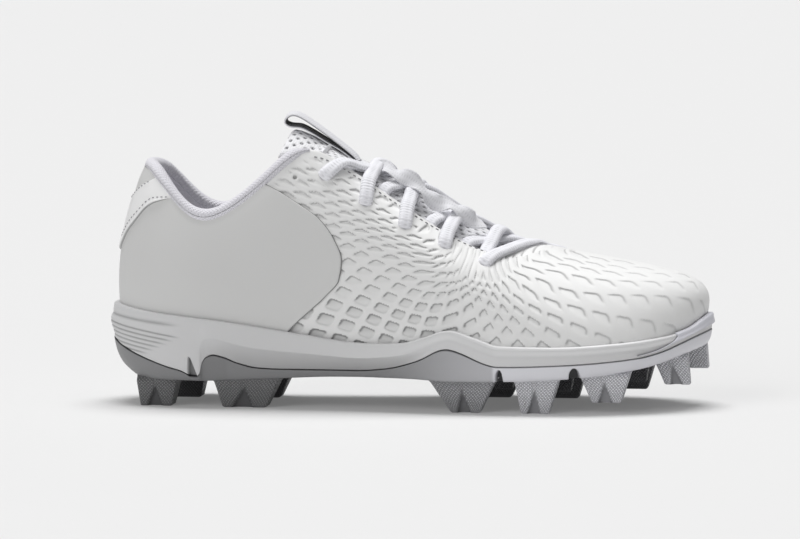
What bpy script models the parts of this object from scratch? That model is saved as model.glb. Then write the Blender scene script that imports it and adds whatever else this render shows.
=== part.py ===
"""Softball cleat: a low right shoe on moulded studs, put together piece by piece on its last.

The frame is in metres: +X to the toe, +Z up, the outer side of the foot at -Y, and the floor at Z = 0.
The sizes and tables below are in millimetres, or in shares of the driving sizes where a column says so.
"""
import bmesh
import bpy
import numpy as np
from mathutils import Matrix, Vector
from mathutils.bvhtree import BVHTree

MM = 0.001

# Middle of the shoe's box in the tables' own axes; the frame has its origin on the floor below it
BOX_MIDDLE = (-1.137, -0.523, 0.0)

# Driving sizes
LENGTH = 279.0
BALL_WIDTH = 90.0
INSTEP_HEIGHT = 116.5

# Walls and clearances
GAP = 0.3
UPPER_WALL = 2.2
PANEL_WALL = 0.8
BUMPER_WALL = 0.9
TONGUE_WALL = 4.0
TONGUE_GAP = 0.6
INSOLE_THICKNESS = 4.0
PLATE_THICKNESS = 2.6
RIM_WALL = 3.2
RIM_STEP_DRAFT = 1.5
RIM_STEP_LEAST = 0.7
RIM_STEP_GAP = 1.1
OUTSOLE_PROUD = 0.2
OUTSOLE_SIDE_SHARE = 0.45
LIP_BEVEL = 0.8

# Grid of the last: columns on each half of the outline, rows from the sole's lip to the topline
HALF = 36
COLUMNS = 2 * HALF
ROWS_ABOVE_LIP = 9

# The last, one rib a row, from the heel along the outer side to the toe and back along the inner side.
# along, top_along: shares of the length from the heel. across, top_across: shares of the ball width.
# top_height: share of the instep height. The rest are the two handles of the rib, in millimetres:
# outward and up from the sole's edge, then towards the sole, outward and up from the topline.
RIB_COLUMNS = ("along", "across", "top_along", "top_across", "top_height",
               "out_low", "up_low", "toward_top", "out_top", "up_top")
RIBS = {
    "heel_back":       (.0255, .000, .060,  .000, .931, 5.5, 32,  0, 8.5, -25),
    "heel_corner_lat": (.070, -.244, .088, -.195, .897, 6.0, 30,  0, 6.5, -22),
    "heel_side_lat":   (.149, -.322, .138, -.300, .777, 5.0, 22,  0, 4.5, -18),
    "ankle_lat":       (.256, -.344, .199, -.333, .760, 4.0, 22,  0, 4.0, -18),
    "waist_lat":       (.378, -.372, .274, -.328, .893, 2.5, 26,  6, 6.0, -24),
    "instep_lat":      (.507, -.428, .342, -.256, 1.00, 2.0, 26, 10, 9.0, -24),
    "ball_rear_lat":   (.622, -.483, .421, -.222, .906, 2.0, 24, 14, 9.0, -22),
    "ball_lat":        (.722, -.494, .507, -.222, .768, 2.0, 22, 18, 9.0, -21),
    "vamp_lat":        (.815, -.444, .579, -.222, .665, 2.5, 20, 26, 5.0, -18),
    "toe_corner_lat":  (.901, -.300, .643, -.178, .605, 4.5, 24, 48, 0.0, -11),
    "toe_tip":         (.973,  .033, .697,  .044, .631, 10.0, 28, 78, 0.0, -13.5),
    "toe_corner_med":  (.948,  .289, .729,  .222, .605, 6.5, 26, 50, 0.0, -11),
    "vamp_med":        (.866,  .433, .686,  .300, .600, 2.5, 22, 26, 4.0, -11),
    "ball_med":        (.751,  .483, .608,  .300, .675, 2.0, 24, 18, 7.0, -15),
    "ball_rear_med":   (.636,  .450, .521,  .289, .800, 2.0, 26, 14, 7.0, -16),
    "instep_med":      (.518,  .367, .385,  .289, .960, 2.0, 30, 10, 7.0, -24),
    "waist_med":       (.378,  .311, .278,  .317, .897, 3.0, 28,  6, 5.0, -24),
    "ankle_med":       (.256,  .306, .199,  .322, .760, 4.0, 22,  0, 4.0, -18),
    "heel_side_med":   (.149,  .306, .138,  .289, .777, 5.0, 22,  0, 4.5, -18),
    "heel_corner_med": (.070,  .239, .088,  .195, .897, 6.0, 30,  0, 6.5, -22),
}

# Levels along the foot, as (x, height): the floor under the foot, the midsole's lip,
# the line between midsole and outsole, and the underside of the outsole's plate
FLOOR = ((-139, 33), (-60, 29), (0, 24), (45, 22.8), (90, 25.5), (120, 30.5), (139, 36.5))
LIP = ((-139, 46.8), (-113, 43), (-80, 39.4), (-47, 34.6), (-15, 30.8), (0, 31.2), (12, 34), (26, 37.5),
       (36, 34.5), (46, 30.9), (70, 30.5), (96, 31.8), (127, 37.3), (139, 43))
RIM = ((-137, 31.7), (-127.5, 26), (-117, 21.7), (-107, 18), (-98, 15.2), (-90, 24), (-86.6, 24.7), (-74, 20),
       (-60, 17.8), (-22, 17.8), (-7.6, 19.5), (8.4, 23.5), (25, 29.4), (46, 22), (74, 22.9), (104, 25.4),
       (120, 29.1), (130, 32.5), (139, 35.8))
PLATE = ((-139, 16), (-125, 13.5), (-110, 12.3), (-90, 12.3), (-60, 13.5), (-30, 14.8), (5, 15), (25, 14.5),
         (50, 14.8), (80, 16.3), (108, 20), (130, 27), (139, 30.5))

# Outline of the sole: how far lip, belly and rim stand out from the upper,
# and how far the outsole's side draws in at half height and at the plate
EDGE_COLUMNS = ("x", "lip", "belly", "rim", "side_in", "plate_in")
EDGES = (
    (-140, 3.4, 5.0, 3.2, 2.6, 7.0),
    (-100, 3.3, 4.6, 3.6, 2.0, 5.0),
    (-60,  3.2, 4.2, 3.6, 1.0, 3.0),
    (20,   3.2, 4.4, 4.0, 1.0, 3.0),
    (100,  2.8, 4.0, 3.6, 1.0, 3.6),
    (125,  1.6, 2.4, 2.2, 0.8, 3.6),
    (140,  0.8, 1.2, 1.0, 0.6, 3.6),
)
NOTCH_COLUMNS = (-98.0, -90.0)

# Studs of the outer side: place and length of root and tip along the foot, place and width across it,
# and the height of the tip. The inner side has the same studs further forward and closer in.
STUD_COLUMNS = ("root_x", "root_length", "tip_x", "tip_length", "y", "root_width", "tip_width", "tip_height")
STUDS = {
    "heel_rear":  (-114.0, 20.0, -114.5, 14.5, 18.5, 18.0, 11.0, 0.0),
    "heel_front": (-72.0,  32.0, -73.5,  20.0, 21.5, 19.0, 11.0, 0.0),
    "arch":       (28.5,   29.0,  28.7,  13.0, 33.0, 18.0, 10.0, 0.0),
    "ball":       (61.0,   21.0,  60.2,  12.5, 34.0, 18.0, 10.0, 0.0),
    "vamp":       (93.5,   24.0,  94.6,  13.0, 30.0, 17.0, 10.0, 5.0),
}
INNER_FORWARD = {"heel_rear": 7.0, "heel_front": 0.0, "arch": 7.0, "ball": 7.0, "vamp": 7.0}
INNER_CLOSER = {"heel_rear": 0.5, "heel_front": 2.0, "arch": 0.0, "ball": 1.0, "vamp": 0.0}
# Studs with no partner; those off the middle have a side of their own
SINGLE_STUDS = {
    "centre_rear":  (42.0,  12.0,  42.0, 8.0, 2.0, 11.0, 7.0, 7.0),
    "centre_front": (69.0,  12.0,  69.0, 8.0, -1.0, 11.0, 7.0, 6.5),
    "centre_vamp":  (103.0, 12.0, 103.5, 8.0, -1.0, 11.0, 7.0, 11.5),
    "toe_outer":    (119.0, 15.0, 122.5, 11.5, -10.0, 12.0, 8.0, 11.5),
    "toe_inner":    (123.5, 12.0, 128.5, 8.0, 10.5, 12.0, 8.0, 17.5),
}
SINGLE_STUD_MIDDLE = 5.0
STUD_ROOT_DEPTH = 1.2
STUD_SPLAY = 1.5
STUD_GROOVE_RADIUS = 4.2
STUD_GROOVE_SHARE = 0.75
STUD_GROOVE_OUT = 0.6
STUD_GROOVE_POINT = 0.2

# Cuts in the outsole's rim, as (x, width, height of the point)
RIM_CUTS = ((-94.0, 6.5, 22.5), (44.5, 5.0, 20.5), (78.0, 5.5, 20.0))
RIM_CUT_DEPTH = 9.0
RIM_CUT_POINT = 0.8
CUTTER_CLEAR = 2.0

# Ribs round the heel of the midsole: shares of the height between rim and belly
HEEL_RIBS = (0.30, 0.47, 0.64, 0.81)
HEEL_RIB_WIDTH = 0.042
HEEL_RIB_DEPTH = 0.6
HEEL_RIB_END = -96.0

# Side outlines of the overlays, as (x, height)
QUARTER_EDGE = ((-57, 118), (-52.7, 102), (-47.3, 95.6), (-38.2, 86.4), (-31.3, 77.3), (-27.7, 68.1),
                (-28.9, 59), (-34.6, 52.1), (-50.6, 37.2), (-58, 28))
BAND_TOP = ((-108, 107.5), (-115, 103.6), (-121.5, 100), (-130, 92), (-142, 81))
BAND_BOTTOM = ((-142, 56), (-134.6, 67.2), (-128.4, 78.5), (-123.4, 84.6), (-118.6, 90), (-114.5, 92.4),
               (-104, 95))
BUMPER_TOP = ((108, 26.6), (119, 30.4), (126, 35.9), (129, 39.1), (133, 41.5), (144, 45))
BUMPER_BOTTOM = ((144, 38.2), (130, 33.0), (120, 29.6), (108, 26.3))
PANEL_TOP_ROW = 0.955
PANEL_CLEAR = 0.9
PANEL_ROWS = 7
QUARTER_FRONT = 30.0
BAND_FRONT = -90.0

# Padded collar: section round the topline, as (outward, up), and how it thins towards the throat
CUFF_SECTION = ((0.0, 0.0), (0.4, 1.7), (-0.9, 3.3), (-3.0, 3.9), (-5.2, 3.0), (-6.2, 1.3), (-5.0, 0.0))
CUFF_GAP = 0.5
CUFF_END_SCALE = 0.35
CUFF_TAPER_COLUMNS = 4

# Tongue: height of its ridge along the foot, and the rows of its free top as ridge and half width
TONGUE_RIDGE = ((-50, 125.3), (-29, 112.9), (-17, 107), (3.5, 97.5), (26, 83), (40, 74.5), (50, 69.8),
                (57, 68.0), (66, 67.2))
# (x, height, half width, drop of the edges, how far the edges lie back)
TONGUE_TOP = ((-40.5, 119.6, 20.0, 8.5, 3.0), (-46.5, 123.4, 18.0, 7.0, 4.0), (-51.0, 126.0, 14.5, 4.5, 3.0))
TONGUE_EDGE_ROW = 0.965
TONGUE_FRONT_ROW = 0.965
TONGUE_STEPS = 8
TONGUE_MIDDLE = 1.5

# Pull loop: its strap in the middle plane, as (x, height), and the strap's section
LOOP_ROUTE = ((-29.5, 114.6), (-38, 120.9), (-46, 127.0), (-52, 131.4), (-55.6, 132.8), (-58.4, 131.2),
              (-58.6, 127.8), (-56.2, 125.4))
LOOP_WIDTH = 12.0
LOOP_THICKNESS = 1.2

# Laces: eyelets along the foot from the toe up, the row of the last that they sit on, and the lace itself
EYELETS_OUTER = (36.0, 18.0, 0.0, -18.0, -37.0)
EYELETS_INNER = (66.0, 45.0, 26.0, 7.0, -12.0)
SPARE_EYELET_OUTER = -51.0
EYELET_ROW = 0.83
EYELET_RADIUS = 2.0
LACE_WIDTH = 6.4
LACE_THICKNESS = 3.4
LACE_CLEARANCE = 0.8
LACE_SLACK = 0.25
LACE_SOUNDINGS = 33
SEAT_SAMPLES = 7
SEAT_STEPS = 4
LACE_END_ROW = 0.985
DIVE_OUTER = (None, 27.0, 11.0, -10.5)
DIVE_INNER = (None, 44.0, 30.0, 11.5)
DIVE_REACH = 15.5
FIRST_OUTER = (31.0, -15.0)
FIRST_INNER = (50.0, 15.0)

COLOURS = {
    "outsole":      ((0.36, 0.36, 0.38), 0.55),
    "midsole":      ((0.74, 0.74, 0.75), 0.60),
    "toe_bumper":   ((0.62, 0.62, 0.66), 0.50),
    "insole":       ((0.55, 0.55, 0.58), 0.90),
    "upper":        ((0.80, 0.80, 0.80), 0.45),
    "quarter_panel": ((0.66, 0.66, 0.66), 0.50),
    "heel_band":    ((0.84, 0.84, 0.84), 0.30),
    "collar_cuff":  ((0.60, 0.60, 0.64), 0.90),
    "tongue":       ((0.78, 0.78, 0.80), 0.85),
    "pull_loop":    ((0.70, 0.70, 0.73), 0.80),
    "lace":         ((0.80, 0.80, 0.83), 0.85),
}


# Curves of the last

def level(table, x):
    """Height at x on a smooth line through a table's rows that never overshoots a row."""
    xs, zs = np.array(table, float).T
    steps = np.diff(zs) / np.diff(xs)
    slopes = np.zeros(len(xs))
    for i in range(1, len(xs) - 1):
        if steps[i - 1] * steps[i] > 0:
            slopes[i] = 2 * steps[i - 1] * steps[i] / (steps[i - 1] + steps[i])
    slopes[0] = steps[0]
    slopes[-1] = steps[-1]
    x = np.clip(np.asarray(x, float), xs[0], xs[-1])
    i = np.clip(np.searchsorted(xs, x, side="right") - 1, 0, len(xs) - 2)
    width = xs[i + 1] - xs[i]
    t = (x - xs[i]) / width
    near = (1 + 2 * t) * (1 - t) ** 2 * zs[i] + t * (1 - t) ** 2 * width * slopes[i]
    far = t * t * (3 - 2 * t) * zs[i + 1] - t * t * (1 - t) * width * slopes[i + 1]
    return near + far


def edge(column, x):
    """One column of the sole's edge table at x."""
    rows = np.array(EDGES, float)
    return np.interp(x, rows[:, 0], rows[:, EDGE_COLUMNS.index(column)])


def rib_knots():
    """Place of each rib round the outline, as a share of the way round."""
    rows = np.array(list(RIBS.values()), float)
    foot = np.column_stack([rows[:, 0] * LENGTH, rows[:, 1] * BALL_WIDTH])
    steps = np.linalg.norm(np.roll(foot, -1, axis=0) - foot, axis=1)
    return np.concatenate([[0.0], np.cumsum(steps)[:-1]]) / steps.sum()


def closed_spline(knots, rows, at):
    """Rows at the given places, on a closed curve of continuous bend through the table's rows."""
    count = len(knots)
    spans = np.diff(np.append(knots, 1.0))
    system = np.zeros((count, count))
    right = np.zeros_like(rows)
    for i in range(count):
        before = (i - 1) % count
        after = (i + 1) % count
        system[i, before] += spans[before]
        system[i, i] += 2 * (spans[before] + spans[i])
        system[i, after] += spans[i]
        right[i] = 6 * ((rows[after] - rows[i]) / spans[i] - (rows[i] - rows[before]) / spans[before])
    bends = np.linalg.solve(system, right)
    at = np.mod(at, 1.0)
    i = np.clip(np.searchsorted(knots, at, side="right") - 1, 0, count - 1)
    j = (i + 1) % count
    width = spans[i][:, None]
    t = (at - knots[i])[:, None]
    curved = (bends[i] * (width - t) ** 3 + bends[j] * t ** 3) / (6 * width)
    straight = (rows[i] / width - bends[i] * width / 6) * (width - t)
    return curved + straight + (rows[j] / width - bends[j] * width / 6) * t


def unit(vectors):
    return vectors / np.maximum(np.linalg.norm(vectors, axis=-1, keepdims=True), 1e-9)


def rib_handles(at):
    """The four points of the rib at each place, and the outward direction of the outline there."""
    rows = np.array(list(RIBS.values()), float)
    got = closed_spline(KNOTS, rows, at)
    ahead = closed_spline(KNOTS, rows, at + 1e-3)
    column = {name: got[:, i] for i, name in enumerate(RIB_COLUMNS)}
    x = (column["along"] - 0.5) * LENGTH
    y = column["across"] * BALL_WIDTH
    run = np.column_stack([(ahead[:, 0] - got[:, 0]) * LENGTH, (ahead[:, 1] - got[:, 1]) * BALL_WIDTH])
    out = unit(np.column_stack([run[:, 1], -run[:, 0], np.zeros(len(x))]))
    up = np.array([0.0, 0.0, 1.0])
    low = np.column_stack([x, y, level(FLOOR, x)])
    top = np.column_stack([(column["top_along"] - 0.5) * LENGTH, column["top_across"] * BALL_WIDTH,
                           column["top_height"] * INSTEP_HEIGHT])
    toward = unit((low - top) * np.array([1.0, 1.0, 0.0]))
    low_handle = low + out * column["out_low"][:, None] + up * column["up_low"][:, None]
    top_handle = (top + toward * column["toward_top"][:, None] + out * column["out_top"][:, None]
                  + up * column["up_top"][:, None])
    return low, low_handle, top_handle, top, out


def last(at, row):
    """Points of the last: at runs round the outline, row from the sole's edge (0) to the topline (1)."""
    at = np.atleast_1d(np.asarray(at, float))
    row = np.broadcast_to(np.asarray(row, float), at.shape)[:, None]
    low, low_handle, top_handle, top, _ = rib_handles(at)
    rest = 1 - row
    lower = low * rest ** 3 + 3 * low_handle * row * rest ** 2
    return lower + 3 * top_handle * row ** 2 * rest + top * row ** 3


def last_frame(at, row):
    """Directions on the last: outward from its face, and up along the rib."""
    at = np.atleast_1d(np.asarray(at, float))
    row = np.broadcast_to(np.asarray(row, float), at.shape)
    step = 1e-3
    around = last(at + step, row) - last(at - step, row)
    along = last(at, row + step) - last(at, row - step)
    return unit(np.cross(around, along)), unit(along)


def shell(at, row, away):
    """Points of the last moved away from its face."""
    return last(at, row) + last_frame(at, row)[0] * away


def row_at_height(at, height):
    """Row where each rib of the last reaches a height, found by halving."""
    low = np.zeros(len(at))
    high = np.full(len(at), 0.7)
    for _ in range(30):
        middle = (low + high) / 2
        under = last(at, middle)[:, 2] < height
        low = np.where(under, middle, low)
        high = np.where(under, high, middle)
    return (low + high) / 2


def place_at_x(side, row, x):
    """Place round the outline where a row of the last passes x, on the outer (-1) or inner (1) side."""
    toe = KNOTS[list(RIBS).index("toe_tip")]
    places = np.linspace(0.02, toe - 0.02, 400) if side < 0 else np.linspace(0.98, toe + 0.02, 400)
    found = last(places, row)[:, 0]
    return np.interp(x, found, places)


def column_places():
    """Places of the grid's columns, the same number on each side, with one on each edge of the heel notch."""
    toe = KNOTS[list(RIBS).index("toe_tip")]
    outer = np.linspace(0.0, toe, HALF + 1)
    inner = np.linspace(1.0, toe, HALF + 1)
    for side, places in ((-1, outer), (1, inner)):
        for x in NOTCH_COLUMNS:
            place = place_at_x(side, 0.0, x)
            places[np.argmin(np.abs(places - place))] = place
    return np.concatenate([outer[:-1], inner[:0:-1]])


KNOTS = rib_knots()
PLACES = column_places()
FOOT_X = last(PLACES, 0.0)[:, 0]
OUTWARD = rib_handles(PLACES)[4]
LIP_ROW = row_at_height(PLACES, level(LIP, FOOT_X))


# Blender objects from points

def new_object(name, mesh_data, where, colour=None):
    """An object with a mesh made from a bmesh, in a collection, with a material of its own."""
    mesh = bpy.data.meshes.new(name)
    bmesh.ops.recalc_face_normals(mesh_data, faces=mesh_data.faces[:])
    mesh_data.to_mesh(mesh)
    mesh_data.free()
    piece = bpy.data.objects.new(name, mesh)
    piece.location = Vector(BOX_MIDDLE) * -MM
    where.objects.link(piece)
    if colour:
        mesh.shade_smooth()
        mesh.set_sharp_from_angle(angle=0.7)
        tone, roughness = COLOURS[colour]
        material = bpy.data.materials.new(name)
        material.use_nodes = True
        shader = material.node_tree.nodes["Principled BSDF"]
        shader.inputs["Base Color"].default_value = (*tone, 1.0)
        shader.inputs["Roughness"].default_value = roughness
        mesh.materials.append(material)
    else:
        piece.hide_render = True
        piece.display_type = "WIRE"
    return piece


def add_rings(data, rings, closed_around):
    """Rows of points with quads between them; returns the rows of vertices."""
    rows = [[data.verts.new(Vector(point) * MM) for point in ring] for ring in rings]
    for lower, upper in zip(rows, rows[1:]):
        count = len(lower)
        for i in range(count if closed_around else count - 1):
            j = (i + 1) % count
            data.faces.new((lower[i], lower[j], upper[j], upper[i]))
    return rows


def add_ladder(data, ring):
    """Closes a ring of the outline with rungs from each column to its partner on the other side."""
    count = len(ring)
    data.faces.new((ring[0], ring[1], ring[count - 1]))
    for i in range(1, count // 2 - 1):
        data.faces.new((ring[i], ring[i + 1], ring[count - i]))
        data.faces.new((ring[i + 1], ring[count - i - 1], ring[count - i]))
    data.faces.new((ring[count // 2 - 1], ring[count // 2], ring[count // 2 + 1]))


def sheet_object(name, rings, closed_around, thickness, side, where, colour):
    """An open surface given a wall: outwards for side 1, inwards for side -1."""
    data = bmesh.new()
    add_rings(data, rings, closed_around)
    piece = new_object(name, data, where, colour)
    centre = Vector(np.concatenate(rings).mean(axis=0)) * MM
    if sum((face.center - centre).dot(face.normal) for face in piece.data.polygons) < 0:
        piece.data.flip_normals()
    wall = piece.modifiers.new("wall", "SOLIDIFY")
    wall.thickness = thickness * MM
    wall.offset = side
    return piece


def loft_object(name, rings, where, colour):
    """A closed solid through rings of the outline, ladder caps at both ends."""
    data = bmesh.new()
    rows = add_rings(data, rings, True)
    add_ladder(data, rows[0])
    add_ladder(data, rows[-1])
    return new_object(name, data, where, colour)


def tube_object(name, rings, where, colour):
    """A closed solid through sections of any shape, with a flat face at each end."""
    data = bmesh.new()
    rows = add_rings(data, rings, True)
    data.faces.new(rows[0])
    data.faces.new(rows[-1])
    return new_object(name, data, where, colour)


def side_prism(name, outline, where):
    """A cutter: an outline in the side view, carried right across the shoe."""
    data = bmesh.new()
    face = data.faces.new([data.verts.new(Vector((x, -BALL_WIDTH, z)) * MM) for x, z in outline])
    moved = bmesh.ops.extrude_face_region(data, geom=[face])["geom"]
    corners = [item for item in moved if isinstance(item, bmesh.types.BMVert)]
    bmesh.ops.translate(data, verts=corners, vec=Vector((0, 2 * BALL_WIDTH, 0)) * MM)
    return new_object(name, data, where)


def cut(piece, cutter, operation):
    step = piece.modifiers.new(operation.lower() + "_" + cutter.name, "BOOLEAN")
    step.operation = operation
    step.object = cutter
    step.solver = "EXACT"


def block(data, low, high):
    """A solid between two rectangles, each given as (x, y, z, length, width)."""
    made = bmesh.ops.create_cube(data, size=1.0)["verts"]
    for vert in made:
        x, y, z, length, width = high if vert.co.z > 0 else low
        vert.co = Vector((x + vert.co.x * length, y + vert.co.y * width, z)) * MM
    return made


# Sole

def midsole_side(share, away):
    """A ring on the midsole's side, from its lip (0) over the belly (0.5) to the rim (1), moved outward."""
    wall = shell(PLACES, LIP_ROW, GAP)
    lip = level(LIP, FOOT_X) - LIP_BEVEL
    rim = level(RIM, FOOT_X)
    belly = rim + 0.5 * (lip - rim)
    stops = (0.0, 0.5, 1.0)
    reach = [edge(name, FOOT_X) for name in ("lip", "belly", "rim")]
    out = np.array([np.interp(share, stops, column) for column in np.transpose(reach)])
    height = np.array([np.interp(share, stops, column) for column in np.transpose([lip, belly, rim])])
    ring = wall + OUTWARD * (out + away)[:, None]
    ring[:, 2] = height
    return ring


def inset(ring, distance, height):
    moved = ring - OUTWARD * np.broadcast_to(distance, len(ring))[:, None]
    moved[:, 2] = height
    return moved


def seat_height():
    """Level of the face where midsole and outsole meet inside the rim."""
    return np.minimum(level(PLATE, FOOT_X) + PLATE_THICKNESS, level(RIM, FOOT_X) - RIM_STEP_LEAST)


def make_midsole(parts, cutters):
    """The cup under the upper: floor, wall along the last, lip, belly, rim and underside."""
    under_edge = shell(PLACES, 0.0, GAP) - np.array([0.0, 0.0, GAP])
    rim = midsole_side(1.0, 0.0)
    rings = [under_edge, shell(PLACES, LIP_ROW / 2, GAP), shell(PLACES, LIP_ROW, GAP),
             midsole_side(0.0, 0.0), midsole_side(0.5, 0.0), rim,
             inset(rim, RIM_WALL, rim[:, 2]), inset(rim, RIM_WALL + RIM_STEP_DRAFT, seat_height())]
    piece = loft_object("midsole", rings, parts, "midsole")
    heel = np.where(FOOT_X < HEEL_RIB_END)[0]
    heel = np.concatenate([heel[heel > HALF], heel[heel <= HALF]])
    data = bmesh.new()
    for share in HEEL_RIBS:
        low = 1 - 0.5 * share + HEEL_RIB_WIDTH / 2
        high = low - HEEL_RIB_WIDTH
        corners = ((low, -HEEL_RIB_DEPTH), (low, CUTTER_CLEAR), (high, CUTTER_CLEAR), (high, -HEEL_RIB_DEPTH))
        bounds = [midsole_side(place, away)[heel] for place, away in corners]
        rows = add_rings(data, [np.array(section) for section in zip(*bounds)], True)
        data.faces.new(rows[0])
        data.faces.new(rows[-1])
    cut(piece, new_object("heel_rib_cutter", data, cutters), "DIFFERENCE")


def make_toe_bumper(parts, cutters):
    """The guard round the toe: a skin over the midsole's side, cut to its outline in the side view."""
    toe = np.where(FOOT_X > 85)[0]
    rings = [midsole_side(share, GAP)[toe] for share in (0.0, 0.25, 0.5, 0.75, 1.0)]
    piece = sheet_object("toe_bumper", rings, False, BUMPER_WALL, 1.0, parts, "toe_bumper")
    cut(piece, side_prism("bumper_outline", BUMPER_TOP + BUMPER_BOTTOM, cutters), "INTERSECT")


def stud_rows():
    """Every stud with its side: -1 outer, 1 inner, 0 along the middle."""
    for name, row in STUDS.items():
        outer = dict(zip(STUD_COLUMNS, row))
        inner = dict(outer)
        for column in ("root_x", "tip_x"):
            inner[column] += INNER_FORWARD[name]
        inner["y"] -= INNER_CLOSER[name]
        outer["y"] = -outer["y"]
        yield -1, outer
        yield 1, inner
    for row in SINGLE_STUDS.values():
        stud = dict(zip(STUD_COLUMNS, row))
        yield 0 if abs(stud["y"]) < SINGLE_STUD_MIDDLE else int(np.sign(stud["y"])), stud


def make_outsole(parts, cutters):
    """The rubber plate with its rim, studs with grooved outer faces, and the cuts in the rim."""
    rim = midsole_side(1.0, OUTSOLE_PROUD)
    rim_height = rim[:, 2] - GAP
    rim_width = OUTSOLE_PROUD + RIM_WALL - RIM_STEP_GAP
    plate = level(PLATE, FOOT_X)
    rings = [inset(rim, rim_width + RIM_STEP_DRAFT, seat_height() - GAP), inset(rim, rim_width, rim_height),
             inset(rim, 0.0, rim_height),
             inset(rim, edge("side_in", FOOT_X), plate + OUTSOLE_SIDE_SHARE * (rim_height - plate)),
             inset(rim, edge("plate_in", FOOT_X), plate)]
    piece = loft_object("outsole", rings, parts, "outsole")
    studs = bmesh.new()
    grooves = bmesh.new()
    for side, stud in stud_rows():
        root = float(level(PLATE, stud["root_x"]))
        tip_y = stud["y"] + side * STUD_SPLAY
        tip = (stud["tip_x"], tip_y, stud["tip_height"], stud["tip_length"], stud["tip_width"])
        base = (stud["root_x"], stud["y"], root, stud["root_length"], stud["root_width"])
        corners = block(studs, tip, base)
        for corner in corners:
            if corner.co.z > stud["tip_height"] * MM + 1e-6:
                corner.co.z = (float(level(PLATE, corner.co.x / MM)) + STUD_ROOT_DEPTH) * MM
        if side:
            height = STUD_GROOVE_SHARE * (root - stud["tip_height"])
            face = tip_y + side * (stud["tip_width"] / 2 + STUD_GROOVE_OUT)
            made = bmesh.ops.create_cone(grooves, cap_ends=True, segments=4, radius1=STUD_GROOVE_RADIUS * MM,
                                         radius2=STUD_GROOVE_POINT * MM, depth=height * MM)["verts"]
            middle = Vector((stud["tip_x"], face, stud["tip_height"] - STUD_GROOVE_OUT + height / 2)) * MM
            bmesh.ops.transform(grooves, verts=made, matrix=Matrix.Translation(middle))
    for x, width, point in RIM_CUTS:
        base = float(level(PLATE, x)) - CUTTER_CLEAR
        for side in (-1, 1):
            here = place_at_x(side, 0.0, x)
            y = last(here, 0.0)[0, 1] + side * RIM_WALL
            block(grooves, (x, y, base, width, RIM_CUT_DEPTH), (x, y, point, RIM_CUT_POINT, RIM_CUT_DEPTH))
    cut(piece, new_object("stud_blocks", studs, cutters), "UNION")
    cut(piece, new_object("sole_cutters", grooves, cutters), "DIFFERENCE")


def make_insole(parts):
    """The sockliner on the floor of the cup, clear of the upper's wall."""
    edge_ring = shell(PLACES, 0.0, -(UPPER_WALL + 2 * GAP))
    floor = level(FLOOR, FOOT_X)
    low = np.column_stack([edge_ring[:, :2], floor])
    high = np.column_stack([edge_ring[:, :2], floor + INSOLE_THICKNESS])
    loft_object("insole", [low, high], parts, "insole")


# Upper and what lies on it

def make_upper(parts, cutters):
    """One hollow wall from the sole's edge to the topline, open above and below, with its eyelets."""
    rows = [np.zeros(COLUMNS), LIP_ROW / 2]
    for i in range(ROWS_ABOVE_LIP):
        rows.append(LIP_ROW + (1 - LIP_ROW) * i / (ROWS_ABOVE_LIP - 1))
    rings = [last(PLACES, row) for row in rows]
    piece = sheet_object("upper", rings, True, UPPER_WALL, -1.0, parts, "upper")
    data = bmesh.new()
    for side, xs in ((-1, EYELETS_OUTER + (SPARE_EYELET_OUTER,)), (1, EYELETS_INNER)):
        for x in xs:
            here = place_at_x(side, EYELET_ROW, x)
            centre = Vector(last(here, EYELET_ROW)[0]) * MM
            axis = Vector(last_frame(here, EYELET_ROW)[0][0])
            made = bmesh.ops.create_cone(data, cap_ends=True, segments=8, radius1=EYELET_RADIUS * MM,
                                         radius2=EYELET_RADIUS * MM, depth=4 * UPPER_WALL * MM)["verts"]
            turn = axis.to_track_quat("Z", "Y").to_matrix().to_4x4()
            bmesh.ops.transform(data, verts=made, matrix=Matrix.Translation(centre) @ turn)
    cut(piece, new_object("eyelet_cutter", data, cutters), "DIFFERENCE")
    return piece


def make_panel(name, away, front, outline, parts, cutters):
    """An overlay round the heel: a skin of the last's own form, cut to its outline in the side view."""
    rear = np.where(FOOT_X < front)[0]
    rear = np.concatenate([rear[rear > HALF], rear[rear <= HALF]])
    start = row_at_height(PLACES, level(LIP, FOOT_X) + PANEL_CLEAR)
    rings = []
    for i in range(PANEL_ROWS + 1):
        row = start + (PANEL_TOP_ROW - start) * i / PANEL_ROWS
        rings.append(shell(PLACES[rear], row[rear], away))
    piece = sheet_object(name, rings, False, PANEL_WALL, 1.0, parts, name)
    cut(piece, side_prism(name + "_outline", outline, cutters), "INTERSECT")


def make_collar_cuff(parts):
    """The padded roll on the topline, from one corner of the throat round the heel to the other."""
    corner_outer = KNOTS[list(RIBS).index("instep_lat")]
    corner_inner = KNOTS[list(RIBS).index("instep_med")]
    places = np.concatenate([PLACES[PLACES > corner_inner], PLACES[PLACES < corner_outer]])
    points = last(places, 1.0)
    out, up = last_frame(places, 1.0)
    count = len(places)
    rings = []
    for i in range(count):
        taper = min(1.0, (min(i, count - 1 - i) + 1) / CUFF_TAPER_COLUMNS)
        scale = CUFF_END_SCALE + (1 - CUFF_END_SCALE) * taper
        section = [out[i] * a * scale + up[i] * (CUFF_GAP + b * scale) for a, b in CUFF_SECTION]
        rings.append([points[i] + offset for offset in section])
    tube_object("collar_cuff", rings, parts, "collar_cuff")


def across_face(face, over):
    """The direction on a sloping face that runs straight over in plan."""
    climb = np.clip(-face.dot(over) / max(face[2], 0.1), 0.0, 2.5)
    return unit(over + np.array([0.0, 0.0, climb]))


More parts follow.
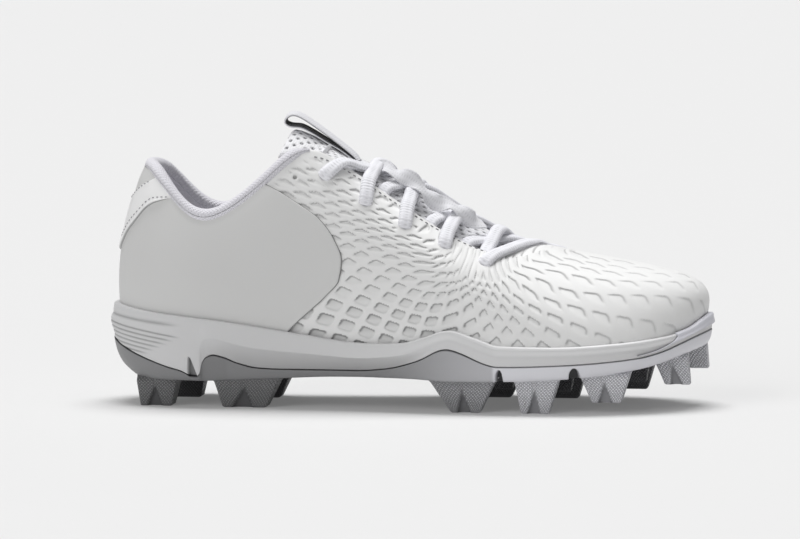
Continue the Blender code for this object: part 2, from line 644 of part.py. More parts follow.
def make_tongue(parts):
    """The tongue: under both edges of the throat, arched to its ridge, with a free top behind the laces."""
    under = -(UPPER_WALL + TONGUE_GAP)
    names = list(RIBS)
    first = int(np.argmin(np.abs(PLACES - KNOTS[names.index("instep_lat")])))
    final = int(np.argmin(np.abs(PLACES - KNOTS[names.index("toe_corner_lat")])))
    across = np.linspace(0.0, 1.0, TONGUE_STEPS + 1)
    rows = []
    for x, z, half_width, drop, back in reversed(TONGUE_TOP):
        side = 2 * across - 1
        bow = side ** 2
        rows.append(np.column_stack([x - back * bow, side * half_width + TONGUE_MIDDLE, z - drop * bow]))
    for i in range(first, final + 1):
        pair = PLACES[[i, COLUMNS - i]]
        left, right = shell(pair, TONGUE_EDGE_ROW, under)
        left_face, right_face = last_frame(pair, TONGUE_EDGE_ROW)[0]
        over = unit((right - left) * np.array([1.0, 1.0, 0.0]))
        left_run = across_face(left_face, over)
        right_run = across_face(right_face, -over)
        ridge = float(level(TONGUE_RIDGE, (left[0] + right[0]) / 2))
        reach = (8 * ridge - 4 * (left[2] + right[2])) / (3 * (left_run[2] + right_run[2]))
        reach = np.clip(reach, 0.05, 0.6 * np.linalg.norm(right - left))
        t = across[:, None]
        rows.append(left * (1 - t) ** 3 + 3 * (left + left_run * reach) * t * (1 - t) ** 2
                    + 3 * (right + right_run * reach) * t ** 2 * (1 - t) + right * t ** 3)
    front = np.linspace(PLACES[final], PLACES[COLUMNS - final], TONGUE_STEPS + 1)
    rows.append(shell(front, TONGUE_FRONT_ROW, under))
    data = bmesh.new()
    add_rings(data, rows, False)
    piece = new_object("tongue", data, parts, "tongue")
    top_side = sum(face.normal.z for face in piece.data.polygons)
    wall = piece.modifiers.new("wall", "SOLIDIFY")
    wall.thickness = TONGUE_WALL * MM
    wall.offset = -1.0 if top_side > 0 else 1.0
    return piece


def smooth_route(points, per_span):
    """Points on a smooth curve through a route."""
    points = np.array(points, float)
    padded = np.vstack([2 * points[0] - points[1], points, 2 * points[-1] - points[-2]])
    route = []
    for a, b, c, d in zip(padded, padded[1:], padded[2:], padded[3:]):
        for t in np.arange(per_span) / per_span:
            route.append(0.5 * (2 * b + (c - a) * t + (2 * a - 5 * b + 4 * c - d) * t ** 2
                                + (3 * b - a - 3 * c + d) * t ** 3))
    route.append(points[-1])
    return np.array(route)


def make_pull_loop(parts):
    """The strap that stands off the tongue's top, folded over into a loop."""
    route = smooth_route([(x, TONGUE_MIDDLE, z) for x, z in LOOP_ROUTE], 2)
    runs = unit(np.gradient(route, axis=0))
    flat = np.array([0.0, 1.0, 0.0])
    rings = []
    for point, run in zip(route, runs):
        face = np.cross(run, flat)
        rings.append([point + flat * a * LOOP_WIDTH / 2 + face * b * LOOP_THICKNESS / 2
                      for a, b in ((-1, -1), (1, -1), (1, 1), (-1, 1))])
    tube_object("pull_loop", rings, parts, "pull_loop")


# Laces, laid taut over the upper and the tongue

def surface_under(trees, x, y):
    """Highest surface point under a plan point and its direction, or nothing over an open eyelet."""
    hits = [tree.ray_cast(Vector((x, y, 300.0)) * MM, Vector((0, 0, -1)))[:2] for tree in trees]
    hits = [hit for hit in hits if hit[0]]
    if not hits:
        return None
    point, normal = max(hits, key=lambda hit: hit[0].z)
    return np.array(point) / MM, np.array(normal)


def thinned(line, slack):
    """The fewest points of a line, ends included, that keep within a slack of it."""
    kept = [0]
    while kept[-1] < len(line) - 1:
        here = kept[-1]
        there = here + 1
        for far in range(here + 2, len(line)):
            chord = unit(line[far] - line[here])
            between = line[here + 1:far] - line[here]
            if np.abs(between[:, 0] * chord[1] - between[:, 1] * chord[0]).max() > slack:
                break
            there = far
        kept.append(there)
    return line[kept]


def taut_route(trees, start, end):
    """A lace straight in plan: the tight line over what lies under its width, and which way it faces."""
    start = np.array(start, float)
    end = np.array(end, float)
    run = unit(end - start)
    aside = np.array([run[1], -run[0]]) * LACE_WIDTH / 2
    lift = LACE_CLEARANCE + LACE_THICKNESS / 2
    length = np.linalg.norm(end - start)
    line = []
    faces = []
    for share in np.linspace(0.0, 1.0, LACE_SOUNDINGS):
        middle = start + run * length * share
        found = [surface_under(trees, *(middle + aside * k)) for k in (-1, -0.5, 0, 0.5, 1)]
        found = [under for under in found if under is not None]
        line.append((length * share, max(point[2] + lift / max(face[2], 0.5) for point, face in found)))
        faces.extend((share, face) for _, face in found)
    hull = []
    for s, z in line:
        while len(hull) > 1 and ((hull[-1][1] - hull[-2][1]) * (s - hull[-2][0])
                                 <= (z - hull[-2][1]) * (hull[-1][0] - hull[-2][0])):
            hull.pop()
        hull.append((s, z))
    stations = thinned(np.array(hull), LACE_SLACK)
    route = np.column_stack([start + run * stations[:, :1], stations[:, 1]])
    facing = []
    for share in stations[:, 0] / length:
        facing.append(unit(sum(face for place, face in faces if abs(place - share) < 0.1)))
    return route, unit(np.array(facing) + np.array([0.0, 0.0, 1.0]))


def seated(rings, trees):
    """A lace lowered until it lies the usual gap off what carries it."""
    rings = np.array(rings)
    shares = np.linspace(0.0, 1.0, SEAT_SAMPLES)[:, None, None, None]
    for _ in range(SEAT_STEPS):
        points = (rings[:-1] * (1 - shares) + rings[1:] * shares).reshape(-1, 3) * MM
        nearest = min(tree.find_nearest(Vector(point))[3] for tree in trees for point in points)
        rings[:, :, 2] -= nearest / MM - GAP
    return rings


def lace_object(name, trees, start, end, where, colour):
    """A flat oval lace between two plan points, its flat side to the surface."""
    route, facing = taut_route(trees, start, end)
    runs = unit(np.gradient(route, axis=0))
    rings = []
    for point, run, face in zip(route, runs, facing):
        aside = unit(np.cross(run, face))
        up = np.cross(aside, run)
        rings.append([point + aside * LACE_WIDTH / 2 * np.cos(turn) + up * LACE_THICKNESS / 2 * np.sin(turn)
                      for turn in np.linspace(0, 2 * np.pi, 6, endpoint=False)])
    return tube_object(name, seated(rings, trees), where, colour)


def eyelet_plan(side, x):
    """Where a lace stops short of its eyelet, in plan."""
    return last(place_at_x(side, LACE_END_ROW, x), LACE_END_ROW)[0, :2]


def make_laces(upper, tongue, parts, cutters):
    """The straight bar over the front of the throat, then the crossings up to the top eyelets."""
    bpy.context.view_layer.update()
    seen = bpy.context.evaluated_depsgraph_get()
    trees = [BVHTree.FromObject(piece, seen) for piece in (upper, tongue)]
    outer = [eyelet_plan(-1, x) for x in EYELETS_OUTER]
    inner = [eyelet_plan(1, x) for x in EYELETS_INNER]
    lace_object("lace_bar_1", trees, outer[0], inner[0], parts, "lace")
    for k in range(1, len(outer)):
        from_outer = FIRST_OUTER if k == 1 else outer[k - 1]
        from_inner = FIRST_INNER if k == 1 else inner[k - 1]
        top = k == len(outer) - 1
        to_inner = inner[k] if top else (DIVE_INNER[k], DIVE_REACH)
        to_outer = outer[k] if top else (DIVE_OUTER[k], -DIVE_REACH)
        crossing = lace_object("lace_cross_%d" % (k + 1), trees, from_outer, to_inner, parts, "lace")
        strand = lace_object("lace_strand_%d" % (k + 1), trees, from_inner, to_outer, cutters, None)
        cut(crossing, strand, "UNION")


def clear_scene():
    for piece in list(bpy.data.objects):
        bpy.data.objects.remove(piece, do_unlink=True)


def new_collection(name):
    made = bpy.data.collections.new(name)
    bpy.context.scene.collection.children.link(made)
    return made


def main():
    clear_scene()
    parts = new_collection("softball_cleat")
    cutters = new_collection("cutters")
    make_outsole(parts, cutters)
    make_midsole(parts, cutters)
    make_toe_bumper(parts, cutters)
    make_insole(parts)
    upper = make_upper(parts, cutters)
    quarter = QUARTER_EDGE + ((-LENGTH, QUARTER_EDGE[-1][1]), (-LENGTH, QUARTER_EDGE[0][1]))
    make_panel("quarter_panel", GAP, QUARTER_FRONT, quarter, parts, cutters)
    make_panel("heel_band", 2 * GAP + PANEL_WALL, BAND_FRONT, BAND_TOP + BAND_BOTTOM, parts, cutters)
    make_collar_cuff(parts)
    tongue = make_tongue(parts)
    make_pull_loop(parts)
    make_laces(upper, tongue, parts, cutters)


main()
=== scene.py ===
"""Softball cleat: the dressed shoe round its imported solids, laid out as an add-on.

Tables and sizes are in millimetres on the last's own axes: +X to the toe, +Z up, the outer side at -Y.
One place, dress(), moves them onto the frame and into metres.
"""

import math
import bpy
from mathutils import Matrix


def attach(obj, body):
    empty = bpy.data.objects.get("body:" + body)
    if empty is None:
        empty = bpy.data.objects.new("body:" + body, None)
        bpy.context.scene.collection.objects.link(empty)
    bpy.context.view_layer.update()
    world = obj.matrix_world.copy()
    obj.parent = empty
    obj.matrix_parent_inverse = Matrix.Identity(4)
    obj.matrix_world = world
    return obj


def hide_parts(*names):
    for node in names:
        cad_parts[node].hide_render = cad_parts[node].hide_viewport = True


bl_info = {
    "name": "Softball Cleat",
    "version": (1, 0, 0),
    "blender": (4, 5, 0),
    "location": "View3D > Sidebar > Cleat",
    "description": "Builds a dressed softball cleat piece by piece round its packed solids",
    "category": "Object",
}

import bmesh
import bpy
import numpy as np
from bpy.props import FloatProperty, FloatVectorProperty, PointerProperty
from mathutils import Vector
from mathutils.bvhtree import BVHTree

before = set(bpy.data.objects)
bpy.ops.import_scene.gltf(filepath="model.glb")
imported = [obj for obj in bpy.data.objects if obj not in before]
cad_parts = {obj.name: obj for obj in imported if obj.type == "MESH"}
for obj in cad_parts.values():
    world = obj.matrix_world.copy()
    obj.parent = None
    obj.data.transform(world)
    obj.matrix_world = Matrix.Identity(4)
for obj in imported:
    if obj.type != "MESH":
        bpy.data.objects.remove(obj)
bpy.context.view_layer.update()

MM = 0.001
SHIFT = np.array([1.137, 0.523, 0.0])

# Driving sizes and walls, as in the solids
LENGTH = 279.0
BALL_WIDTH = 90.0
INSTEP_HEIGHT = 116.5
GAP = 0.3
UPPER_WALL = 2.2
PANEL_WALL = 0.8
TONGUE_WALL = 4.0
TONGUE_GAP = 0.6
INSOLE_THICKNESS = 4.0
RIM_WALL = 3.2
LIP_BEVEL = 0.8

# The last, one rib a row, from the heel along the outer side to the toe and back along the inner side.
# along, top_along: shares of the length from the heel. across, top_across: shares of the ball width.
# top_height: share of the instep height. The rest are the two handles of the rib.
RIB_COLUMNS = ("along", "across", "top_along", "top_across", "top_height",
               "out_low", "up_low", "toward_top", "out_top", "up_top")
RIBS = {
    "heel_back":       (.0255, .000, .060,  .000, .931, 5.5, 32,  0, 8.5, -25),
    "heel_corner_lat": (.070, -.244, .088, -.195, .897, 6.0, 30,  0, 6.5, -22),
    "heel_side_lat":   (.149, -.322, .138, -.300, .777, 5.0, 22,  0, 4.5, -18),
    "ankle_lat":       (.256, -.344, .199, -.333, .760, 4.0, 22,  0, 4.0, -18),
    "waist_lat":       (.378, -.372, .274, -.328, .893, 2.5, 26,  6, 6.0, -24),
    "instep_lat":      (.507, -.428, .342, -.256, 1.00, 2.0, 26, 10, 9.0, -24),
    "ball_rear_lat":   (.622, -.483, .421, -.222, .906, 2.0, 24, 14, 9.0, -22),
    "ball_lat":        (.722, -.494, .507, -.222, .768, 2.0, 22, 18, 9.0, -21),
    "vamp_lat":        (.815, -.444, .579, -.222, .665, 2.5, 20, 26, 5.0, -18),
    "toe_corner_lat":  (.901, -.300, .643, -.178, .605, 4.5, 24, 48, 0.0, -11),
    "toe_tip":         (.973,  .033, .697,  .044, .631, 10.0, 28, 78, 0.0, -13.5),
    "toe_corner_med":  (.948,  .289, .729,  .222, .605, 6.5, 26, 50, 0.0, -11),
    "vamp_med":        (.866,  .433, .686,  .300, .600, 2.5, 22, 26, 4.0, -11),
    "ball_med":        (.751,  .483, .608,  .300, .675, 2.0, 24, 18, 7.0, -15),
    "ball_rear_med":   (.636,  .450, .521,  .289, .800, 2.0, 26, 14, 7.0, -16),
    "instep_med":      (.518,  .367, .385,  .289, .960, 2.0, 30, 10, 7.0, -24),
    "waist_med":       (.378,  .311, .278,  .317, .897, 3.0, 28,  6, 5.0, -24),
    "ankle_med":       (.256,  .306, .199,  .322, .760, 4.0, 22,  0, 4.0, -18),
    "heel_side_med":   (.149,  .306, .138,  .289, .777, 5.0, 22,  0, 4.5, -18),
    "heel_corner_med": (.070,  .239, .088,  .195, .897, 6.0, 30,  0, 6.5, -22),
}

# Levels along the foot, as (x, height)
FLOOR = ((-139, 33), (-60, 29), (0, 24), (45, 22.8), (90, 25.5), (120, 30.5), (139, 36.5))
LIP = ((-139, 46.8), (-113, 43), (-80, 39.4), (-47, 34.6), (-15, 30.8), (0, 31.2), (12, 34), (26, 37.5),
       (36, 34.5), (46, 30.9), (70, 30.5), (96, 31.8), (118, 34.4), (125, 36.6), (130, 40.4), (134, 43.8), (139, 48))
RIM = ((-137, 33.2), (-126.6, 27), (-117, 22.6), (-107, 18.9), (-100.8, 17.2), (-98.3, 16), (-96.5, 14.9),
       (-93.6, 14.8), (-92.1, 16), (-91.2, 20.4), (-89.2, 23.6), (-86.4, 24.6), (-82.4, 23.7), (-75.4, 20.9),
       (-66.2, 18.8), (-55, 18.3), (-22, 18.3), (-7.6, 19.5), (8.4, 23.5), (25, 29.4), (46, 22), (74, 22.9),
       (104, 25.4), (114, 27.8), (122, 31.2), (130, 34.9), (139, 38.6))
PLATE = ((-139, 16), (-125, 13.5), (-110, 12.3), (-90, 12.3), (-60, 13.5), (-30, 14.8), (5, 15), (25, 14.5),
         (50, 14.8), (80, 16.3), (108, 20), (130, 27), (139, 30.5))

# How far lip, belly and rim stand out from the upper, and how far the outsole draws in
EDGE_COLUMNS = ("x", "lip", "belly", "rim", "side_in", "plate_in")
EDGES = (
    (-140, 3.4, 5.0, 3.2, 2.6, 7.0),
    (-100, 3.3, 4.6, 3.6, 2.0, 5.0),
    (-60,  3.2, 4.2, 3.6, 1.0, 3.0),
    (20,   3.2, 4.4, 4.0, 1.0, 3.0),
    (100,  2.8, 4.0, 3.6, 1.0, 3.6),
    (125,  1.6, 2.4, 2.2, 0.8, 3.6),
    (140,  0.8, 1.2, 1.0, 0.6, 3.6),
)
OUTSOLE_PROUD = 0.2

# Studs of the outer side, and how the inner side's differ; then those that stand alone
STUD_COLUMNS = ("root_x", "root_length", "tip_x", "tip_length", "y", "root_width", "tip_width", "tip_height")
STUDS = {
    "heel_rear":  (-114.0, 20.0, -114.5, 14.5, 18.5, 18.0, 11.0, 0.0),
    "heel_front": (-72.0,  32.0, -73.5,  20.0, 21.5, 19.0, 11.0, 0.0),
    "arch":       (27.0,   32.0,  28.7,  13.0, 33.0, 18.0, 10.0, 0.0),
    "ball":       (61.0,   21.0,  60.2,  12.5, 34.0, 18.0, 10.0, 0.0),
    "vamp":       (91.5,   24.0,  92.0,  13.0, 30.0, 17.0, 10.0, 5.0),
}
INNER_FORWARD = {"heel_rear": 7.0, "heel_front": 0.0, "arch": 7.0, "ball": 7.0, "vamp": 7.0}
INNER_CLOSER = {"heel_rear": 0.5, "heel_front": 2.0, "arch": 0.0, "ball": 1.0, "vamp": 0.0}
SINGLE_STUDS = {
    "centre_rear":  (42.0,  12.0,  42.0, 8.0, 2.0, 11.0, 7.0, 7.0),
    "centre_front": (69.0,  12.0,  69.0, 8.0, -1.0, 11.0, 7.0, 6.5),
    "centre_vamp":  (103.0, 12.0, 103.5, 8.0, -1.0, 11.0, 7.0, 11.5),
    "toe_outer":    (119.0, 15.0, 122.5, 11.5, -10.0, 12.0, 8.0, 11.5),
    "toe_inner":    (127.5, 13.0, 130.8, 8.5, 9.0, 13.0, 9.0, 17.0),
}
SINGLE_STUD_MIDDLE = 5.0
STUD_SPLAY = 1.5

# Side outlines of the overlays, as (x, height)
QUARTER_EDGE = ((-88, 116), (-65, 102.8), (-56, 98.2), (-48.2, 93.4), (-38.2, 86.4), (-31.3, 77.3), (-27.7, 68.1),
                (-28.9, 59), (-34.6, 52.1), (-50.6, 37.2), (-58, 28))
BAND_TOP = ((-142, 81), (-130, 92), (-121.5, 100), (-115, 103.6), (-108, 107.5), (-90, 114))
BAND_BOTTOM = ((-142, 56), (-134.6, 67.2), (-128.4, 78.5), (-123.4, 84.6), (-118.6, 90), (-114.5, 92.4),
               (-104, 95), (-90, 96))
BUMPER_TOP = ((104, 25.9), (112, 27.8), (117, 29.8), (121, 32.2), (123.5, 34.6), (125.5, 37.2), (128, 41), (144, 54))
BUMPER_BOTTOM = ((100, 24.8), (108, 26.6), (114, 28.1), (122, 31.5), (130, 35.2), (144, 41.0))

# Padded collar: section round the topline, as (outward, up)
CUFF_SECTION = ((0.9, -2.4), (1.9, -0.6), (1.8, 1.6), (0.2, 3.5), (-2.4, 4.1), (-4.9, 3.4), (-6.3, 1.4),
                (-5.8, -1.8), (-3.6, -3.2), (-1.2, -3.3))
CUFF_HEEL_SECTION = ((0.2, -1.4), (0.7, 0.2), (0.6, 1.9), (-0.5, 3.4), (-2.6, 4.1), (-4.9, 3.4), (-6.3, 1.4),
                     (-5.8, -1.8), (-3.6, -3.2), (-1.6, -2.6))
CUFF_SCALE = 0.88
CUFF_TAPER = 0.03
CUFF_END_SCALE = 0.3

# Tongue and pull loop
TONGUE_RIDGE = ((-50, 125.3), (-29, 112.9), (-17, 107), (3.5, 97.5), (26, 83), (40, 74.5), (50, 69.8),
                (57, 68.0), (66, 67.2))
TONGUE_TOP = ((-40.5, 119.4, 20.0, 8.8, 3.0), (-46.5, 122.4, 19.8, 9.6, 4.0), (-51.5, 124.4, 19.2, 10.4, 4.4),
              (-55.4, 125.2, 18.2, 11.0, 4.6))
TONGUE_EDGE_ROW = 0.965
TONGUE_MIDDLE = 1.5
LOOP_ROUTE = ((-24.6, 110.6), (-27.6, 114.2), (-36.5, 121.2), (-45, 127.3), (-51.4, 131.3), (-55.2, 132.2),
              (-57.9, 130.7), (-58.2, 128.4), (-55.8, 127.0), (-51, 126.4), (-46, 124.0), (-40, 120.4),
              (-33, 116.4), (-26.5, 111.6))
LOOP_WIDTH = 12.0
LOOP_THICKNESS = 1.2
LOOP_LEAN = (-0.08, 0.97, 0.09)

# Laces: eyelets from the toe up, as (x, row of the last), where strands pass under the throat's edges,
# and the flat ribbon along the tongue
EYELETS_OUTER = ((36.0, 0.765), (18.0, 0.785), (0.0, 0.775), (-18.0, 0.793), (-37.0, 0.863))
EYELETS_INNER = ((70.5, 0.83), (45.0, 0.83), (26.0, 0.83), (7.0, 0.83), (-12.0, 0.83))
SPARE_EYELET_OUTER = (-50.0, 0.895)
SPARE_EYELET_SCALE = 0.55
DIVE_OUTER = (None, 27.0, 11.0, -10.5)
DIVE_INNER = (None, 43.0, 24.5, 3.0)
DIVE_REACH = 15.5
TOP_RUN_BEND = (6.0, 0.0, -3.0)
FIRST_OUTER = (35.5, -16.5)
FIRST_INNER = (50.0, 15.0)
KEEPER_ROUTE = ((-17.5, -2, 105.5), (-12.4, -6, 108.8), (-7, -9, 105.8), (0.1, -10, 103.6), (5.6, -10, 98.6),
                (11.9, -9, 92.6), (18.4, -9, 91.8), (23.9, -9, 88.1), (28.4, -7, 84.6), (33, -3, 82.6))
KEEPER_TURN = 17.0
KEEPER_OVER = ("lace_cross_3", "lace_cross_4")

# Moulded lattice: rows of (x, girth, i, j) that place the cell corners (i, j) on the upper,
# where girth is the height less the distance from the middle
LATTICE = (
    (-48, 78.6, -9, 10), (-33.5, 66.7, -7, 10), (-7.8, 47.5, -3, 10), (13.1, 37.3, 0, 10),
    (-54.2, 71.7, -8, 8), (-12.6, 41.7, -2, 8), (1.4, 33.1, 0, 8), (17.1, 28.1, 2, 8),
    (-45.6, 58.1, -6, 7), (9, 23.4, 2, 7), (17.3, 22.3, 3, 7), (-12.3, 29.2, 0, 6),
    (22.1, 16.7, 5, 6), (27.1, 18.7, 7, 6), (-2.4, 17.2, 2, 5), (21.8, 11.6, 6, 5),
    (20.5, 5.8, 6, 4), (30.5, 11.5, 8, 4), (19.2, -.8, 6, 3), (1.4, -3.3, 4, 2),
    (37.7, 2.5, 9, 2), (35.1, -9.3, 8, 1), (-41.7, .4, 0, 0), (-31.5, -2.5, 1, 0),
    (50, 13.8, 13, 0), (52.7, -13.1, 10, -1), (53.1, 22.3, 14, -1), (48.7, 34.2, 15, -1),
    (58.5, 29.5, 15, -2), (73.7, 11, 14, -3), (69.3, 24, 15, -3), (62, 38.7, 16, -3),
    (55.9, 50.8, 17, -3), (87, -4.3, 13, -4), (67.1, 47.7, 17, -4), (69.1, 56.6, 18, -5),
    (105.7, 9.9, 14, -6), (86.9, 44.8, 17, -6), (105.1, 38.2, 16, -7), (121.6, 31.8, 15, -8),
    (98.4, 54, 18, -8), (130, 37, 15, -9), (134.4, 42.9, 15, -10), (130.9, 54.8, 16, -10),
)
LATTICE_MIDDLE = 3.0
LATTICE_UNIT = 100.0
CELL_SHARE = 0.69
CELL_CORNER = 0.2
CELL_EDGE = 0.05
CELL_SOFT_EDGE = 0.26
# Where the cells turn into scales, lie fully pressed in, and fade, by place or by cell size
SCALE_TILT = 20.0
SCALE_TILT_SPAN = (50.0, 95.0)
FULL_CELL_HEIGHTS = (62.0, 42.0)
FULL_CELL_SPAN = (40.0, 8.0)
VAMP_SPAN = (25.0, 75.0)
TOE_SPAN = (70.0, 112.0)
PRESSED_CELL_SIZES = (0.6, 4.0)
# Cell sizes that keep the painted shadow line along the cells' upper edges, that line's width, and the heights where
# it grows faint
LINED_CELL_SIZES = (0.8, 2.6)
LINE_WIDTH = 0.06
LINE_FULL_CELL = 9.0
FAINT_LINE_HEIGHTS = (80.0, 100.0)


# Curves of the last

def level(table, x):
    """Height at x on a smooth line through a table's rows that never overshoots a row."""
    xs, zs = np.array(table, float).T
    steps = np.diff(zs) / np.diff(xs)
    slopes = np.zeros(len(xs))
    for i in range(1, len(xs) - 1):
        if steps[i - 1] * steps[i] > 0:
            slopes[i] = 2 * steps[i - 1] * steps[i] / (steps[i - 1] + steps[i])
    slopes[0] = steps[0]
    slopes[-1] = steps[-1]
    x = np.clip(np.asarray(x, float), xs[0], xs[-1])
    i = np.clip(np.searchsorted(xs, x, side="right") - 1, 0, len(xs) - 2)
    width = xs[i + 1] - xs[i]
    t = (x - xs[i]) / width
    near = (1 + 2 * t) * (1 - t) ** 2 * zs[i] + t * (1 - t) ** 2 * width * slopes[i]
    far = t * t * (3 - 2 * t) * zs[i + 1] - t * t * (1 - t) * width * slopes[i + 1]
    return near + far


def edge(column, x):
    """One column of the sole's edge table at x."""
    rows = np.array(EDGES, float)
    return np.interp(x, rows[:, 0], rows[:, EDGE_COLUMNS.index(column)])


def ramp(low, high, value):
    """Smooth step from 0 at low to 1 at high."""
    t = np.clip((np.asarray(value, float) - low) / (high - low), 0.0, 1.0)
    return t * t * (3 - 2 * t)


def unit(vectors):
    """Vectors brought to length 1."""
    return vectors / np.maximum(np.linalg.norm(vectors, axis=-1, keepdims=True), 1e-9)


def rib_knots():
    """Place of each rib round the outline, as a share of the way round."""
    rows = np.array(list(RIBS.values()), float)
    foot = np.column_stack([rows[:, 0] * LENGTH, rows[:, 1] * BALL_WIDTH])
    steps = np.linalg.norm(np.roll(foot, -1, axis=0) - foot, axis=1)
    return np.concatenate([[0.0], np.cumsum(steps)[:-1]]) / steps.sum()


def spline_bends(knots, rows):
    """Bends of the closed curve of continuous bend through the table's rows."""
    count = len(knots)
    spans = np.diff(np.append(knots, 1.0))
    system = np.zeros((count, count))
    right = np.zeros_like(rows)
    for i in range(count):
        before = (i - 1) % count
        after = (i + 1) % count
        system[i, before] += spans[before]
        system[i, i] += 2 * (spans[before] + spans[i])
        system[i, after] += spans[i]
        right[i] = 6 * ((rows[after] - rows[i]) / spans[i] - (rows[i] - rows[before]) / spans[before])
    return np.linalg.solve(system, right)


KNOTS = rib_knots()
RIB_ROWS = np.array(list(RIBS.values()), float)
RIB_BENDS = spline_bends(KNOTS, RIB_ROWS)
SMALL_STEP = 1e-3


def rib_place(name):
    """Place of a named rib round the outline."""
    return KNOTS[list(RIBS).index(name)]


TOE = rib_place("toe_tip")


def rib_values(at):
    """Every column of the rib table at the given places."""
    spans = np.diff(np.append(KNOTS, 1.0))
    at = np.mod(at, 1.0)
    i = np.clip(np.searchsorted(KNOTS, at, side="right") - 1, 0, len(KNOTS) - 1)
    j = (i + 1) % len(KNOTS)
    width = spans[i][:, None]
    t = (at - KNOTS[i])[:, None]
    curved = (RIB_BENDS[i] * (width - t) ** 3 + RIB_BENDS[j] * t ** 3) / (6 * width)
    straight = (RIB_ROWS[i] / width - RIB_BENDS[i] * width / 6) * (width - t)
    return curved + straight + (RIB_ROWS[j] / width - RIB_BENDS[j] * width / 6) * t


def rib_handles(at):
    """The four points of the rib at each place, and the outward direction of the outline there."""
    got = rib_values(at)
    ahead = rib_values(at + SMALL_STEP)
    column = {name: got[:, i] for i, name in enumerate(RIB_COLUMNS)}
    x = (column["along"] - 0.5) * LENGTH
    y = column["across"] * BALL_WIDTH
    run = np.column_stack([(ahead[:, 0] - got[:, 0]) * LENGTH, (ahead[:, 1] - got[:, 1]) * BALL_WIDTH])
    out = unit(np.column_stack([run[:, 1], -run[:, 0], np.zeros(len(x))]))
    up = np.array([0.0, 0.0, 1.0])
    low = np.column_stack([x, y, level(FLOOR, x)])
    top = np.column_stack([(column["top_along"] - 0.5) * LENGTH, column["top_across"] * BALL_WIDTH,
                           column["top_height"] * INSTEP_HEIGHT])
    toward = unit((low - top) * np.array([1.0, 1.0, 0.0]))
    low_handle = low + out * column["out_low"][:, None] + up * column["up_low"][:, None]
    top_handle = (top + toward * column["toward_top"][:, None] + out * column["out_top"][:, None]
                  + up * column["up_top"][:, None])
    return low, low_handle, top_handle, top, out


def last(at, row):
    """Points of the last: at runs round the outline, row from the sole's edge (0) to the topline (1)."""
    at, row = np.broadcast_arrays(np.asarray(at, float), np.asarray(row, float))
    low, low_handle, top_handle, top, _ = rib_handles(at.ravel())
    t = row.reshape(-1, 1)
    lower = low * (1 - t) ** 3 + 3 * low_handle * t * (1 - t) ** 2
    points = lower + 3 * top_handle * t ** 2 * (1 - t) + top * t ** 3
    return points.reshape(at.shape + (3,))


def last_frame(at, row):
    """Directions on the last: outward from its face, and up along the rib."""
    at, row = np.broadcast_arrays(np.asarray(at, float), np.asarray(row, float))
    around = last(at + SMALL_STEP, row) - last(at - SMALL_STEP, row)
    along = last(at, row + SMALL_STEP) - last(at, row - SMALL_STEP)
    return unit(np.cross(around, along)), unit(along)


def shell(at, row, away):
    """Points of the last moved away from its face."""
    return last(at, row) + last_frame(at, row)[0] * np.asarray(away)[..., None]


def outward(at):
    """Outward direction of the outline at each place, level with the floor."""
    return rib_handles(np.asarray(at, float))[4]


HIGHEST_SOLE_ROW = 0.7
HALVINGS = 24


def row_at_height(at, height):
    """Row where each rib of the last reaches a height near the sole, found by halving."""
    low = np.zeros(len(at))
    high = np.full(len(at), HIGHEST_SOLE_ROW)
    for _ in range(HALVINGS):
        middle = (low + high) / 2
        under = last(at, middle)[:, 2] < height
        low = np.where(under, middle, low)
        high = np.where(under, high, middle)
    return (low + high) / 2


SIDE_MARGIN = 0.02
SIDE_SAMPLES = 400


def place_at_x(side, row, x):
    """Place round the outline where a row of the last passes x, on the outer (-1) or inner (1) side."""
    heel, toe = (SIDE_MARGIN, TOE - SIDE_MARGIN) if side < 0 else (1 - SIDE_MARGIN, TOE + SIDE_MARGIN)
    places = np.linspace(heel, toe, SIDE_SAMPLES)
    return np.interp(x, last(places, row)[:, 0], places)


def run_along(points, axis=0):
    """Distance run along a route, or along one axis of a grid of points."""
    steps = np.diff(points, axis=axis, prepend=np.take(points, [0], axis=axis))
    return np.cumsum(np.linalg.norm(steps, axis=-1), axis=axis)


RIB_SAMPLES = 50


def even_rows(at, start, stop, count):
    """Rows at even steps along each rib between two rows."""
    shares = np.linspace(0.0, 1.0, RIB_SAMPLES)[:, None]
    coarse = start + (stop - start) * shares
    run = run_along(last(np.broadcast_to(at, coarse.shape), coarse))
    rows = [np.interp(np.linspace(0, run[-1, i], count), run[:, i], coarse[:, i]) for i in range(len(at))]
    return np.array(rows).T


def lip_row(at, above):
    """Row of the last a little above or below the midsole's lip."""
    return row_at_height(at, level(LIP, last(at, 0.0)[:, 0]) + above)


def smooth_route(points, per_span):
    """Points on a smooth curve through a route."""
    points = np.array(points, float)
    padded = np.vstack([2 * points[0] - points[1], points, 2 * points[-1] - points[-2]])
    route = []
    for a, b, c, d in zip(padded, padded[1:], padded[2:], padded[3:]):
        for t in np.arange(per_span) / per_span:
            route.append(0.5 * (2 * b + (c - a) * t + (2 * a - 5 * b + 4 * c - d) * t ** 2
                                + (3 * b - a - 3 * c + d) * t ** 3))
    route.append(points[-1])
    return np.array(route)


def evenly(route, step, *others):
    """A route and what goes with it, sampled again at even steps."""
    run = run_along(route)
    places = np.linspace(0.0, run[-1], max(2, int(round(run[-1] / step))) + 1)
    picked = [np.column_stack([np.interp(places, run, column) for column in np.asarray(item).T])
              for item in (route,) + others]
    return picked + [places]


def eased(route, times):
    """A route with its corners worn off by averaging neighbours, its ends kept."""
    route = np.array(route)
    for _ in range(times):
        route[1:-1] = (route[:-2] + 2 * route[1:-1] + route[2:]) / 4
    return route


def cloth_grid(along, across):
    """Cloth coordinates of a grid, in millimetres, from the runs along and across it."""
    return np.stack(np.broadcast_arrays(along, across, 0.0), axis=-1)


# Meshes

WELD_DISTANCE = 2e-6


